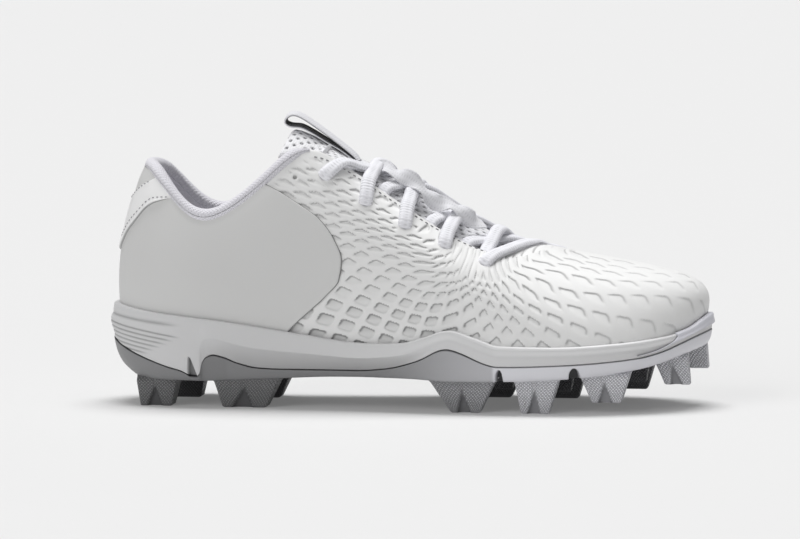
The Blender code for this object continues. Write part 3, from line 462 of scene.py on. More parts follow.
def grid_faces(rows, columns, closed_rows, closed_columns):
    """Corners of the faces between the points of a grid."""
    index = np.arange(rows * columns).reshape(rows, columns)
    if closed_rows:
        index = np.vstack([index, index[:1]])
    if closed_columns:
        index = np.hstack([index, index[:, :1]])
    return np.stack([index[:-1, :-1], index[:-1, 1:], index[1:, 1:], index[1:, :-1]], axis=-1).reshape(-1, 4)


class Patches:
    """Grids of points that become one mesh, with numbers for the material at every point."""

    def __init__(self):
        self.points = []
        self.faces = []
        self.values = {}
        self.count = 0

    def add(self, points, closed_rows=False, closed_columns=False, **values):
        """Adds one grid of points, and numbers that are given once, by row or by point."""
        rows, columns = points.shape[:2]
        self.faces.append(grid_faces(rows, columns, closed_rows, closed_columns) + self.count)
        self.points.append(points.reshape(-1, 3))
        for name, numbers in values.items():
            numbers = np.asarray(numbers, float)
            width = numbers.shape[2:]
            full = np.broadcast_to(numbers, (rows, columns) + width).reshape((-1,) + width)
            self.values.setdefault(name, []).append(full)
        self.count += rows * columns


def dress(name, patches, material, nodes=(), weld=False, inward=False, normals=None):
    """The object made from patches: in metres on the frame, riding on the shoe, standing for its nodes."""
    mesh = bpy.data.meshes.new(name)
    points = (np.concatenate(patches.points) + SHIFT) * MM
    mesh.from_pydata(points.tolist(), [], np.concatenate(patches.faces).tolist())
    for key, arrays in patches.values.items():
        numbers = np.concatenate(arrays)
        vector = numbers.ndim == 2
        layer = mesh.attributes.new(key, "FLOAT_VECTOR" if vector else "FLOAT", "POINT")
        layer.data.foreach_set("vector" if vector else "value", numbers.ravel())
    if weld or normals is None:
        data = bmesh.new()
        data.from_mesh(mesh)
        if weld:
            bmesh.ops.remove_doubles(data, verts=data.verts, dist=WELD_DISTANCE)
            bmesh.ops.recalc_face_normals(data, faces=data.faces)
        data.to_mesh(mesh)
        data.free()
    if inward:
        mesh.flip_normals()
    mesh.shade_smooth()
    if normals is not None:
        mesh.normals_split_custom_set_from_vertices(normals.reshape(-1, 3).tolist())
    mesh.materials.append(material)
    piece = bpy.data.objects.new(name, mesh)
    bpy.context.scene.collection.objects.link(piece)
    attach(piece, "root")
    if nodes:
        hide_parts(*nodes)
    return piece


def grid_normals(points):
    """Outward directions of a grid of points."""
    return unit(np.cross(np.gradient(points, axis=1), np.gradient(points, axis=0)))


def tube(patches, route, facing, width, thickness, sides, squareness=2.0, **values):
    """A flat oval swept along a route with closed ends; squareness 2 is an ellipse."""
    runs = unit(np.gradient(route, axis=0))
    aside = unit(np.cross(runs, facing))
    up = np.cross(aside, runs)
    turn = np.linspace(0, 2 * np.pi, sides, endpoint=False)
    across = np.sign(np.cos(turn)) * np.abs(np.cos(turn)) ** (2 / squareness)
    lift = np.sign(np.sin(turn)) * np.abs(np.sin(turn)) ** (2 / squareness)
    width = np.broadcast_to(width, len(route)) / 2
    thickness = np.broadcast_to(thickness, len(route)) / 2
    rings = (route[:, None] + aside[:, None] * (width[:, None] * across)[..., None]
             + up[:, None] * (thickness[:, None] * lift)[..., None])
    first = np.repeat(route[:1, None], sides, axis=1)
    final = np.repeat(route[-1:, None], sides, axis=1)
    rings = np.concatenate([first, rings, final])
    grown = {}
    for name, numbers in values.items():
        numbers = np.asarray(numbers, float)
        grown[name] = np.concatenate([numbers[:1], numbers, numbers[-1:]]) if len(numbers) > 1 else numbers
    patches.add(rings, False, True, **grown)


# Materials

def shaded(paint, share):
    """A colour made darker or lighter by a share."""
    return [min(1.0, part * share) for part in paint]


def link(tree, source, target):
    """Joins two sockets of a node tree."""
    tree.links.new(source, target)


def math_node(tree, operation, first, second=None):
    """Result of a math node on numbers or sockets."""
    node = tree.nodes.new("ShaderNodeMath")
    node.operation = operation
    for socket, value in zip(node.inputs, (first, second)):
        if value is None:
            continue
        if isinstance(value, (int, float)):
            socket.default_value = value
        else:
            link(tree, value, socket)
    return node.outputs[0]


def group_tree(name, inputs, outputs):
    """A new node group with named sockets; returns it with its two ends."""
    tree = bpy.data.node_groups.new(name, "ShaderNodeTree")
    for label, kind in inputs:
        tree.interface.new_socket(label, in_out="INPUT", socket_type=kind)
    for label, kind in outputs:
        tree.interface.new_socket(label, in_out="OUTPUT", socket_type=kind)
    return tree, tree.nodes.new("NodeGroupInput"), tree.nodes.new("NodeGroupOutput")


def moulded_grain_group():
    """Fine pores and slow tone drift of moulded skins and foams."""
    tree, start, stop = group_tree("Moulded Grain", [("Scale", "NodeSocketFloat")],
                                   [("Height", "NodeSocketFloat"), ("Tone", "NodeSocketFloat")])
    place = tree.nodes.new("ShaderNodeTexCoord").outputs["Object"]
    pores = tree.nodes.new("ShaderNodeTexNoise")
    pores.inputs["Detail"].default_value = 3.0
    pores.inputs["Roughness"].default_value = 0.6
    link(tree, place, pores.inputs["Vector"])
    link(tree, start.outputs["Scale"], pores.inputs["Scale"])
    drift = tree.nodes.new("ShaderNodeTexNoise")
    drift.inputs["Scale"].default_value = 22.0
    drift.inputs["Detail"].default_value = 2.0
    link(tree, place, drift.inputs["Vector"])
    link(tree, pores.outputs["Fac"], stop.inputs["Height"])
    both = math_node(tree, "ADD", math_node(tree, "MULTIPLY", pores.outputs["Fac"], 0.35),
                     math_node(tree, "MULTIPLY", drift.outputs["Fac"], 0.65))
    link(tree, both, stop.inputs["Tone"])
    return tree


def yarn_group():
    """Crossing yarns on a piece's own cloth coordinates, in millimetres."""
    tree, start, stop = group_tree("Yarn", [("Cloth", "NodeSocketVector"), ("Pitch", "NodeSocketFloat"),
                                            ("Stretch", "NodeSocketFloat")],
                                   [("Height", "NodeSocketFloat"), ("Gaps", "NodeSocketFloat")])
    parts = tree.nodes.new("ShaderNodeSeparateXYZ")
    link(tree, start.outputs["Cloth"], parts.inputs[0])
    turn = math_node(tree, "DIVIDE", 2 * math.pi, start.outputs["Pitch"])
    along = math_node(tree, "MULTIPLY", parts.outputs["X"], turn)
    across = math_node(tree, "MULTIPLY", math_node(tree, "MULTIPLY", parts.outputs["Y"], turn),
                       start.outputs["Stretch"])
    first = math_node(tree, "SINE", math_node(tree, "ADD", along, across))
    second = math_node(tree, "SINE", math_node(tree, "SUBTRACT", along, across))
    height = math_node(tree, "MULTIPLY", first, second)
    link(tree, math_node(tree, "ADD", math_node(tree, "MULTIPLY", height, 0.5), 0.5), stop.inputs["Height"])
    deep = math_node(tree, "MULTIPLY", height, -1.6)
    link(tree, math_node(tree, "SUBTRACT", deep, 0.5), stop.inputs["Gaps"])
    return tree


GROUPS = {}


def group_node(tree, maker, **values):
    """A shared node group placed in a material with its own values; the group is built once."""
    if maker not in GROUPS:
        GROUPS[maker] = maker()
    node = tree.nodes.new("ShaderNodeGroup")
    node.node_tree = GROUPS[maker]
    for label, value in values.items():
        node.inputs[label].default_value = value
    return node


def spread(tree, value, low, high):
    """A value from 0 to 1 spread between two others."""
    node = tree.nodes.new("ShaderNodeMapRange")
    node.inputs["To Min"].default_value = low
    node.inputs["To Max"].default_value = high
    link(tree, value, node.inputs["Value"])
    return node.outputs["Result"]


def attribute_value(tree, name, output="Fac"):
    """Numbers that a mesh carries at its points."""
    node = tree.nodes.new("ShaderNodeAttribute")
    node.attribute_name = name
    return node.outputs[output]


def mixed(tree, amount, first, second, blend="MIX"):
    """Colour mixed from two colours or sockets by an amount."""
    node = tree.nodes.new("ShaderNodeMix")
    node.data_type = "RGBA"
    node.blend_type = blend
    node.clamp_factor = True
    for socket, value in ((node.inputs[0], amount), (node.inputs[6], first), (node.inputs[7], second)):
        if isinstance(value, bpy.types.NodeSocket):
            link(tree, value, socket)
        elif isinstance(value, (int, float)):
            socket.default_value = value
        else:
            socket.default_value = (*value[:3], 1.0)
    return node.outputs[2]


ROUGHNESS_SWING = 0.08
KNURL_LIGHT_AND_SHADE = (0.78, 1.5)


def finish_material(name, colour, roughness, grain=None, yarn=None, tints=(), knurl=None, coat=0.0, sheen=0.0,
                    specular=0.5):
    """A material from its colour, the tints its attributes bring, its grain, yarn or knurl, and its gloss.

    grain: pores a metre, depth in millimetres, tone variation. yarn: pitch, stretch, depth, colour of the gaps.
    knurl: pitch and depth. tints: pairs of attribute and colour.
    """
    material = bpy.data.materials.new(name)
    material.use_nodes = True
    tree = material.node_tree
    shader = tree.nodes["Principled BSDF"]
    shader.inputs["Specular IOR Level"].default_value = specular
    shader.inputs["Coat Weight"].default_value = coat
    shader.inputs["Sheen Weight"].default_value = sheen
    shader.inputs["Roughness"].default_value = roughness
    paint = tuple(colour)
    normal = None
    for key, tint in tints:
        paint = mixed(tree, attribute_value(tree, key), paint, tint)
    if grain:
        scale, depth, variation = grain
        node = group_node(tree, moulded_grain_group, Scale=scale)
        tone = spread(tree, node.outputs["Tone"], 1.0 - variation, 1.0 + variation)
        paint = mixed(tree, 1.0, paint, tone, "MULTIPLY")
        rough = spread(tree, node.outputs["Height"], roughness - ROUGHNESS_SWING, roughness + ROUGHNESS_SWING)
        link(tree, rough, shader.inputs["Roughness"])
        normal = bump(tree, node.outputs["Height"], depth, normal)
    if yarn:
        pitch, stretch, depth, gap_colour = yarn
        node = group_node(tree, yarn_group, Pitch=pitch, Stretch=stretch)
        link(tree, attribute_value(tree, "cloth", "Vector"), node.inputs["Cloth"])
        paint = mixed(tree, node.outputs["Gaps"], paint, gap_colour)
        normal = bump(tree, node.outputs["Height"], depth, normal)
    if knurl:
        pitch, depth = knurl
        peaks = knurl_height(tree, pitch)
        normal = bump(tree, peaks, depth, normal)
        # Painted highlight on the knurl's peaks and painted shade in its pits
        paint = mixed(tree, 1.0, paint, spread(tree, peaks, *KNURL_LIGHT_AND_SHADE), "MULTIPLY")
    if isinstance(paint, tuple):
        shader.inputs["Base Color"].default_value = (*paint[:3], 1.0)
    else:
        link(tree, paint, shader.inputs["Base Color"])
    if normal:
        link(tree, normal, shader.inputs["Normal"])
    return material


def bump(tree, height, depth, before):
    """Normal that a height gives, laid over another normal if there is one."""
    node = tree.nodes.new("ShaderNodeBump")
    node.inputs["Distance"].default_value = depth * MM
    link(tree, height, node.inputs["Height"])
    if before:
        link(tree, before, node.inputs["Normal"])
    return node.outputs["Normal"]


def knurl_height(tree, pitch):
    """Small pyramids in rows on the studs' faces, on the stud's own cloth coordinates."""
    parts = tree.nodes.new("ShaderNodeSeparateXYZ")
    link(tree, attribute_value(tree, "cloth", "Vector"), parts.inputs[0])
    turn = math.pi / pitch
    first = math_node(tree, "MULTIPLY", math_node(tree, "ADD", parts.outputs["X"], parts.outputs["Y"]), turn)
    second = math_node(tree, "MULTIPLY", math_node(tree, "SUBTRACT", parts.outputs["X"], parts.outputs["Y"]), turn)
    waves = math_node(tree, "MINIMUM", math_node(tree, "ABSOLUTE", math_node(tree, "SINE", first)),
                      math_node(tree, "ABSOLUTE", math_node(tree, "SINE", second)))
    return math_node(tree, "MULTIPLY", waves, attribute_value(tree, "knurled"))


# Settings

def size(name, description, default):
    """A length that a user can change, in metres."""
    return FloatProperty(name=name, description=description, default=default, unit="LENGTH", precision=5)


def colour(name, description, default):
    """A colour that a user can change."""
    return FloatVectorProperty(name=name, description=description, default=default, subtype="COLOR", size=3,
                               min=0.0, max=1.0)


class CleatSizes(bpy.types.PropertyGroup):
    """Sizes of the moulded and sewn detail."""
    lattice_depth: size("Lattice depth", "How deep the cells are moulded into the upper", 0.00065)
    lace_width: size("Lace width", "Width of the flat lace", 0.0064)
    lace_thickness: size("Lace thickness", "Thickness of the flat lace", 0.0037)
    stitch_length: size("Stitch length", "Length of one stitch", 0.0016)
    stitch_gap: size("Stitch gap", "Gap between stitches", 0.0012)
    knurl_pitch: size("Knurl pitch", "Distance between the small pyramids on the studs", 0.0015)
    perforation: size("Perforation", "Radius of the holes in the tongue's mesh", 0.0008)


class CleatColours(bpy.types.PropertyGroup):
    """Colours of the shoe's materials and of the stage."""
    upper: colour("Upper", "Moulded front of the upper", (0.80, 0.80, 0.796))
    # Colour of the painted shade in the lattice's lines and cell floors
    crease: colour("Crease", "Shade in the creases of the lattice", (0.30, 0.30, 0.30))
    quarter: colour("Quarter", "Smooth overlay on heel and quarter", (0.635, 0.635, 0.63))
    band: colour("Heel band", "Glossy band round the heel", (0.88, 0.88, 0.88))
    knit: colour("Collar knit", "Padded collar", (0.77, 0.76, 0.81))
    lining: colour("Lining", "Inside of the upper", (0.94, 0.93, 0.97))
    mesh: colour("Tongue mesh", "Perforated mesh of the tongue", (0.88, 0.88, 0.90))
    webbing: colour("Webbing", "Outer face of the pull loop", (0.74, 0.74, 0.77))
    webbing_inside: colour("Webbing inside", "Inner face of the pull loop", (0.03, 0.03, 0.035))
    lace: colour("Lace", "Lace", (0.82, 0.82, 0.86))
    keeper: colour("Keeper", "Flat ribbon along the tongue", (0.72, 0.72, 0.75))
    thread: colour("Thread", "Stitches", (0.25, 0.25, 0.26))
    band_thread: colour("Band thread", "Stitches on the heel band", (0.30, 0.30, 0.31))
    midsole: colour("Midsole", "Foam midsole", (0.63, 0.63, 0.635))
    bumper: colour("Toe bumper", "Guard round the toe", (0.63, 0.63, 0.68))
    # A darker copy of the outsole's own pale colour: painted shade from the heel to the arch
    outsole_painted_shade: colour("Outsole heel", "Outsole from heel to arch", (0.23, 0.23, 0.235))
    outsole_front: colour("Outsole front", "Outsole of the forefoot", (0.69, 0.69, 0.725))
    insole: colour("Insole", "Sockliner", (0.72, 0.72, 0.75))
    floor: colour("Floor", "Pale studio floor", (0.6, 0.6, 0.6))


def settings(context):
    """The scene's sizes and colours for the shoe."""
    return context.scene.cleat_sizes, context.scene.cleat_colours


# Upper

FRONT_START = -66.0
OUTER_COLUMNS = 440
INNER_COLUMNS = 400
FRONT_ROWS = 205
ROLL_STEPS = 6
ROLLED_IN_ROWS = (0.99, 0.96, 0.92)
UPPER_TUCK = 2.0
THROAT_MARGIN = (3.0, 6.5)
EYELET_RADII = (2.2, 1.2)
EYELET_CALM = (3.0, 6.0)
EYELET_DEPTH = 1.6
EYELET_SHADE = (0.02, 0.02, 0.02)
HEEL_COLUMNS = 200
HEEL_ROWS = 60
HEEL_OVERLAP = 4.0
HEEL_SINK = 0.05


def lattice_map():
    """Weights of the smooth map from the upper onto the lattice, through the table's corners."""
    rows = np.array(LATTICE, float)
    known = rows[:, :2] / LATTICE_UNIT
    count = len(known)
    reach = np.linalg.norm(known[:, None] - known[None], axis=2) ** 3
    plane = np.column_stack([np.ones(count), known])
    system = np.block([[reach, plane], [plane.T, np.zeros((3, 3))]])
    return known, np.linalg.solve(system, np.vstack([rows[:, 2:], np.zeros((3, 2))]))


def lattice_places(x, girth):
    """Lattice coordinates (i, j) at points of the upper, with their slopes along x and girth."""
    known, weights = lattice_map()
    asked = np.column_stack([x.ravel(), girth.ravel()]) / LATTICE_UNIT
    places = np.outer(np.ones(len(asked)), weights[-3]) + asked @ weights[-2:]
    slopes = np.repeat(weights[None, -2:], len(asked), axis=0)
    for corner, weight in zip(known, weights):
        apart = asked - corner
        far = np.linalg.norm(apart, axis=1)
        places += np.outer(far ** 3, weight)
        slopes += 3 * (far[:, None] * apart)[:, :, None] * weight
    return places.reshape(x.shape + (2,)), (slopes / LATTICE_UNIT).reshape(x.shape + (2, 2))


def lattice_relief(points):
    """How deep each point lies in its cell, from 0 to 1, and its painted shade: a painted shadow line along the
    cells' upper edges, and painted shade on the floors of fully pressed cells.
    """
    x, y, z = np.moveaxis(points, -1, 0)
    places, slopes = lattice_places(x, z - np.abs(y - LATTICE_MIDDLE))
    i, j = places[..., 0], places[..., 1]
    tilt = np.radians(SCALE_TILT) * ramp(*SCALE_TILT_SPAN, x)
    climb = slopes[..., 0, :] * np.sin(tilt)[..., None] + slopes[..., 1, :] * np.cos(tilt)[..., None]
    steep = np.linalg.norm(slopes, axis=-2)
    climb = climb / np.maximum(steep, 1e-6)
    cell = 1 / np.maximum(steep.max(axis=-1), 1e-6)
    half = CELL_SHARE / 2
    shift = (1 - CELL_SHARE) * ramp(-0.3, 0.3, climb[..., 0])
    along = i - np.floor(i) - shift - half
    down = half - (np.ceil(j) - j)
    a = np.abs(along) - half + CELL_CORNER
    b = np.abs(down) - half + CELL_CORNER
    outside = np.hypot(np.maximum(a, 0), np.maximum(b, 0)) + np.minimum(np.maximum(a, b), 0) - CELL_CORNER
    high = (climb[..., 0] * along + climb[..., 1] * down) / (half * np.abs(climb).sum(axis=-1))
    full = ramp(*FULL_CELL_HEIGHTS, z) * ramp(*FULL_CELL_SPAN, x)
    soft = CELL_EDGE + (1 - full) * CELL_SOFT_EDGE * ramp(0.25, -0.6, high)
    inside = ramp(soft, -soft, outside)
    depth = inside * (1 - (1 - full) * 0.9 * ramp(0.6, -0.7, high))
    vamp = ramp(*VAMP_SPAN, x)
    toe = ramp(*TOE_SPAN, x)
    depth = depth * ramp(*PRESSED_CELL_SIZES, cell) * (1 - 0.3 * vamp - 0.3 * toe)
    # Painted shadow line along the cells' upper edges, and painted shade on the floors of the fully pressed cells
    thin = LINE_WIDTH * np.minimum(1.0, LINE_FULL_CELL / np.maximum(cell, 1.0))
    line = np.exp(-((outside + thin / 2) / thin) ** 2) * ramp(-0.1 + 0.25 * toe, 0.3 + 0.25 * toe, high)
    line = line * ramp(*LINED_CELL_SIZES, cell) * (1 - 0.25 * vamp - 0.25 * toe)
    floor = depth * full * (0.18 + 0.35 * ramp(-0.3, 0.8, high))
    return depth, np.clip((0.95 - 0.2 * ramp(*FAINT_LINE_HEIGHTS, z)) * line + floor, 0, 1)


def front_skin(sizes):
    """Points, directions and shades of the moulded front, from the sole's lip over the throat's edge."""
    start = float(place_at_x(-1, 0.0, FRONT_START))
    stop = float(place_at_x(1, 0.0, FRONT_START))
    at = np.concatenate([np.linspace(start, TOE, OUTER_COLUMNS, endpoint=False),
                         np.linspace(TOE, stop, INNER_COLUMNS)])
    rows = even_rows(at, lip_row(at, -UPPER_TUCK), np.ones(len(at)), FRONT_ROWS)
    points = last(at[None], rows)
    out, up = last_frame(at[None], rows)
    depth, shade = lattice_relief(points)
    room = ramp(*THROAT_MARGIN, run_along(points[::-1])[::-1])
    depth, shade = depth * room, shade * room
    hole = np.zeros(depth.shape)
    eyelets = [(-1, place, 1.0) for place in EYELETS_OUTER] + [(1, place, 1.0) for place in EYELETS_INNER]
    for side, (x, row), scale in eyelets + [(-1, SPARE_EYELET_OUTER, SPARE_EYELET_SCALE)]:
        centre = last(place_at_x(side, row, x), row)
        far = np.linalg.norm(points - centre, axis=-1)
        hole = np.maximum(hole, scale * ramp(EYELET_RADII[0] * scale, EYELET_RADII[1] * scale, far))
        calm = ramp(EYELET_CALM[0] * scale, EYELET_CALM[1] * scale, far)
        depth, shade = depth * calm, shade * calm
    pressed = depth * sizes.lattice_depth / MM + hole * EYELET_DEPTH
    points = points - out * pressed[..., None]
    top, top_out, top_up = last(at, 1.0), out[-1], up[-1]
    rolled = []
    radius = UPPER_WALL / 2
    for turn in np.linspace(0, np.pi, ROLL_STEPS + 1)[1:]:
        rolled.append(top + top_up * radius * np.sin(turn) - top_out * radius * (1 - np.cos(turn)))
    for row in ROLLED_IN_ROWS:
        rolled.append(shell(at, np.full(len(at), row), np.full(len(at), -UPPER_WALL)))
    points = np.concatenate([points, np.array(rolled)])
    extra = np.zeros((len(rolled), len(at)))
    shade = np.clip(np.concatenate([shade, extra]), 0, 1)
    hole = np.concatenate([hole, extra])
    return points, grid_normals(points), shade, hole


class CLEAT_OT_upper(bpy.types.Operator):
    """Moulded front of the upper with its lattice, eyelets and rolled throat edge, and the plain heel part"""
    bl_idname = "cleat.upper"
    bl_label = "Upper"

    def execute(self, context):
        sizes, colours = settings(context)
        # Painted shade in the lattice's lines and cell floors, and near-black painted shade in the eyelets
        skin = finish_material("moulded_upper", colours.upper, 0.58, grain=(1500.0, 0.03, 0.03), specular=0.4,
                               tints=(("crease", colours.crease), ("hole", EYELET_SHADE)))
        points, normals, shade, hole = front_skin(sizes)
        halves = (("upper_outer_side", slice(0, OUTER_COLUMNS + 1)), ("upper_inner_side", slice(OUTER_COLUMNS, None)))
        for name, part in halves:
            patches = Patches()
            patches.add(points[:, part], crease=shade[:, part], hole=hole[:, part])
            dress(name, patches, skin, ("upper",), normals=normals[:, part])
        inner, outer = (float(place_at_x(side, 0.0, FRONT_START + HEEL_OVERLAP)) for side in (1, -1))
        rear = np.linspace(inner - 1, outer, HEEL_COLUMNS)
        rows = even_rows(rear, lip_row(rear, -UPPER_TUCK), np.ones(len(rear)), HEEL_ROWS)
        patches = Patches()
        patches.add(shell(rear[None], rows, -HEEL_SINK), crease=0.0, hole=0.0)
        dress("upper_heel", patches, skin, ("upper",))
        return {"FINISHED"}


LINING_PAD = 8.0
LINING_SINK = 0.05
LINING_TOP = 0.995
LINING_COLUMNS = 260
LINING_ROWS = 70


class CLEAT_OT_lining(bpy.types.Operator):
    """Lining of the upper from the topline down to the sockliner"""
    bl_idname = "cleat.lining"
    bl_label = "Lining"

    def execute(self, context):
        _, colours = settings(context)
        cloth = finish_material("lining_knit", colours.lining, 0.9, sheen=0.15,
                                yarn=(2.6, 0.8, 0.15, shaded(colours.lining, 0.92)))
        at = np.linspace(0.0, 1.0, LINING_COLUMNS, endpoint=False)
        rows = even_rows(at, np.zeros(len(at)), np.full(len(at), LINING_TOP), LINING_ROWS)
        ankle = rib_place("instep_lat")
        padding = LINING_PAD * ramp(ankle, 0.6 * ankle, np.minimum(at, 1 - at))
        padding = padding * ramp(1.0, 0.72, rows) * ramp(0.2, 0.6, rows)
        points = shell(at[None], rows, -UPPER_WALL - LINING_SINK - padding)
        patches = Patches()
        patches.add(points, False, True, cloth=cloth_grid(run_along(points, 1), run_along(points)))
        dress("lining", patches, cloth, ("upper",), inward=True)
        return {"FINISHED"}


# Overlays round the heel

PANEL_RAISE = GAP + PANEL_WALL
PANEL_COLUMNS = 300
PANEL_ROWS = 90
PANEL_TOP = 0.992
PANEL_TUCK = 1.5
PANEL_SEARCH = (0.02, 0.42, 300)
# Rounded front edge, as (distance in from the edge, share of the raise)
PANEL_BEVEL = ((0.0, 0.05), (0.25, 0.55), (0.6, 0.9), (1.1, 1.0))
OUTLINE_LENGTH = 620.0


def front_places(rows_of, side):
    """Place on each panel row where the side view's quarter edge is met."""
    start, stop, count = PANEL_SEARCH
    places = np.linspace(-side * start, -side * stop, count)
    rows = rows_of(places)
    points = last(places[None], rows)
    edge_table = tuple((z, x) for x, z in reversed(QUARTER_EDGE))
    over = points[..., 0] - level(edge_table, points[..., 2])
    found = []
    for line in over:
        first = int(np.argmax(line > 0))
        share = line[first - 1] / (line[first - 1] - line[first])
        found.append(places[first - 1] + share * (places[first] - places[first - 1]))
    return np.array(found)


class CLEAT_OT_quarter(bpy.types.Operator):
    """Smooth overlay round heel and quarter"""
    bl_idname = "cleat.quarter"
    bl_label = "Quarter Panel"

    def execute(self, context):
        _, colours = settings(context)
        skin = finish_material("quarter_skin", colours.quarter, 0.5, grain=(1900.0, 0.02, 0.035),
                               tints=(("crease", shaded(colours.quarter, 0.35)),))

        def rows_of(places):
            """Rows of the panel on each rib, from under the lip to its top edge."""
            start = lip_row(places, -PANEL_TUCK)
            return start + (PANEL_TOP - start) * np.linspace(0.0, 1.0, PANEL_ROWS)[:, None]

        outer = front_places(rows_of, -1)
        inner = front_places(rows_of, 1)
        steps, raised = np.transpose(PANEL_BEVEL)
        steps = steps / OUTLINE_LENGTH
        share = np.linspace(0.0, 1.0, PANEL_COLUMNS)
        middle = (inner + steps[-1])[:, None] + (outer - inner - 2 * steps[-1])[:, None] * share
        at = np.hstack([inner[:, None] + steps[:-1], middle, outer[:, None] - steps[:-1][::-1]])
        lift = np.concatenate([raised[:-1], np.ones(PANEL_COLUMNS), raised[-2::-1]])
        rows = np.stack([rows_of(at[k])[k] for k in range(PANEL_ROWS)])
        away = PANEL_RAISE * lift[None] * (0.5 + 0.5 * ramp(PANEL_TOP, 0.9, rows))
        # Painted shade on the two columns at each front edge of the panel: a dark line where its edge steps down
        shade = np.zeros(rows.shape)
        shade[:, :2] = shade[:, -2:] = 1.0
        patches = Patches()
        patches.add(shell(at, rows, away), crease=shade)
        dress("quarter_panel_skin", patches, skin, ("quarter_panel",))
        return {"FINISHED"}


BAND_LIMIT = 0.986
BAND_REACH = 0.11
BAND_COLUMNS = 220
BAND_LEAST = 0.01
BAND_FREE = 0.965
BAND_SEARCH = (0.25, 0.995, 160)
# Section across the band from its lower edge up, as (share of its height, distance out)
BAND_PROFILE = ((-0.02, 0.9), (0.0, 1.7), (0.02, 2.25), (0.05, 2.4), (0.09, 2.25), (0.13, 1.75), (0.18, 1.7),
                (0.94, 1.7), (0.97, 1.6), (1.0, 1.1))
BAND_FACE_ROWS = 18
BAND_STITCH_LIFT = 1.72
BAND_STITCH_SCALE = 0.85


def band_rows(places, table):
    """Row on each rib where a line of the side view is met."""
    tries = np.linspace(*BAND_SEARCH)
    points = last(places[None], tries[:, None] + 0 * places[None])
    over = points[..., 2] - level(table, points[..., 0])
    first = np.argmax(over > 0, axis=0)
    first = np.where(over.max(axis=0) > 0, np.maximum(first, 1), len(tries) - 1)
    column = np.arange(len(places))
    low, high = over[first - 1, column], over[first, column]
    share = np.clip(low / np.minimum(low - high, -1e-9), 0, 1)
    return tries[first - 1] + share * (tries[first] - tries[first - 1])


class CLEAT_OT_heel_band(bpy.types.Operator):
    """Glossy band round the back of the heel, with a bead along its lower edge"""
    bl_idname = "cleat.heel_band"
    bl_label = "Heel Band"

    def execute(self, context):
        sizes, colours = settings(context)
        gloss = finish_material("band_film", colours.band, 0.42, grain=(900.0, 0.02, 0.02), coat=0.12,
                                tints=(("crease", shaded(colours.band, 0.3)),))
        reach = np.linspace(-BAND_REACH, BAND_REACH, BAND_COLUMNS)
        low = band_rows(reach, BAND_BOTTOM)
        high = np.minimum(band_rows(reach, BAND_TOP), BAND_LIMIT)
        keep = high - low > BAND_LEAST
        reach, low, high = reach[keep], low[keep], high[keep]
        bead = [share for share, _ in BAND_PROFILE[:6]]
        shares = np.array(bead + list(np.linspace(0.18, 0.94, BAND_FACE_ROWS)) + [0.965, 0.985, 1.0])
        away = np.interp(shares, *np.transpose(BAND_PROFILE))
        rows = low + (high - low) * shares[:, None]
        ends = np.minimum(1.0, np.minimum(np.arange(len(reach)), np.arange(len(reach))[::-1]) / 4)
        lift = (1.0 + (away[:, None] - 1.0) * ends) * (0.5 + 0.5 * ramp(0.995, 0.84, rows))
        # Painted shadow on the two lowest rings, under the bead
        shade = np.zeros(rows.shape)
        shade[:2] = ((1.0,), (0.8,))
        patches = Patches()
        patches.add(shell(reach[None] + 0 * rows, rows, lift), crease=shade)
        dress("heel_band_film", patches, gloss, ("heel_band",))
        thread = finish_material("band_thread", colours.band_thread, 0.8, grain=(3000.0, 0.02, 0.05))
        patches = Patches()
        for share, picked in ((0.22, np.ones(len(high), bool)), (0.93, high < BAND_FREE)):
            line = (low + (high - low) * share)[picked]
            add_stitches(patches, shell(reach[picked], line, BAND_STITCH_LIFT),
                         last_frame(reach[picked], line)[0], sizes, BAND_STITCH_SCALE)
        dress("heel_band_stitches", patches, thread, weld=True)
        return {"FINISHED"}


STITCH_STEP = 0.2
STITCH_START = 1.0
STITCH_BOW = 0.12
STITCH_SIDES = 6


def add_stitches(patches, route, facing, sizes, scale=1.0):
    """Short rounded stitches along a line on a surface."""
    length = scale * sizes.stitch_length / MM
    period = length + scale * sizes.stitch_gap / MM
    line, faces, run = evenly(route, STITCH_STEP, facing)
    for start in np.arange(STITCH_START, run[-1] - period, period):
        picked = (run >= start) & (run <= start + length)
        part, face = line[picked], unit(faces[picked])
        if len(part) < 3:
            continue
        bow = np.sin(np.linspace(0, np.pi, len(part)))
        part = part + face * (STITCH_BOW * bow)[:, None]
        tube(patches, part, face, scale * (0.35 + 0.25 * bow), scale * (0.3 + 0.15 * bow), STITCH_SIDES)


# Collar, tongue and loop

COLLAR_STEPS = 380
CUFF_DETAIL = 4
CUFF_LIFT = 0.4
CUFF_HEEL_SPAN = (0.02, 0.055)


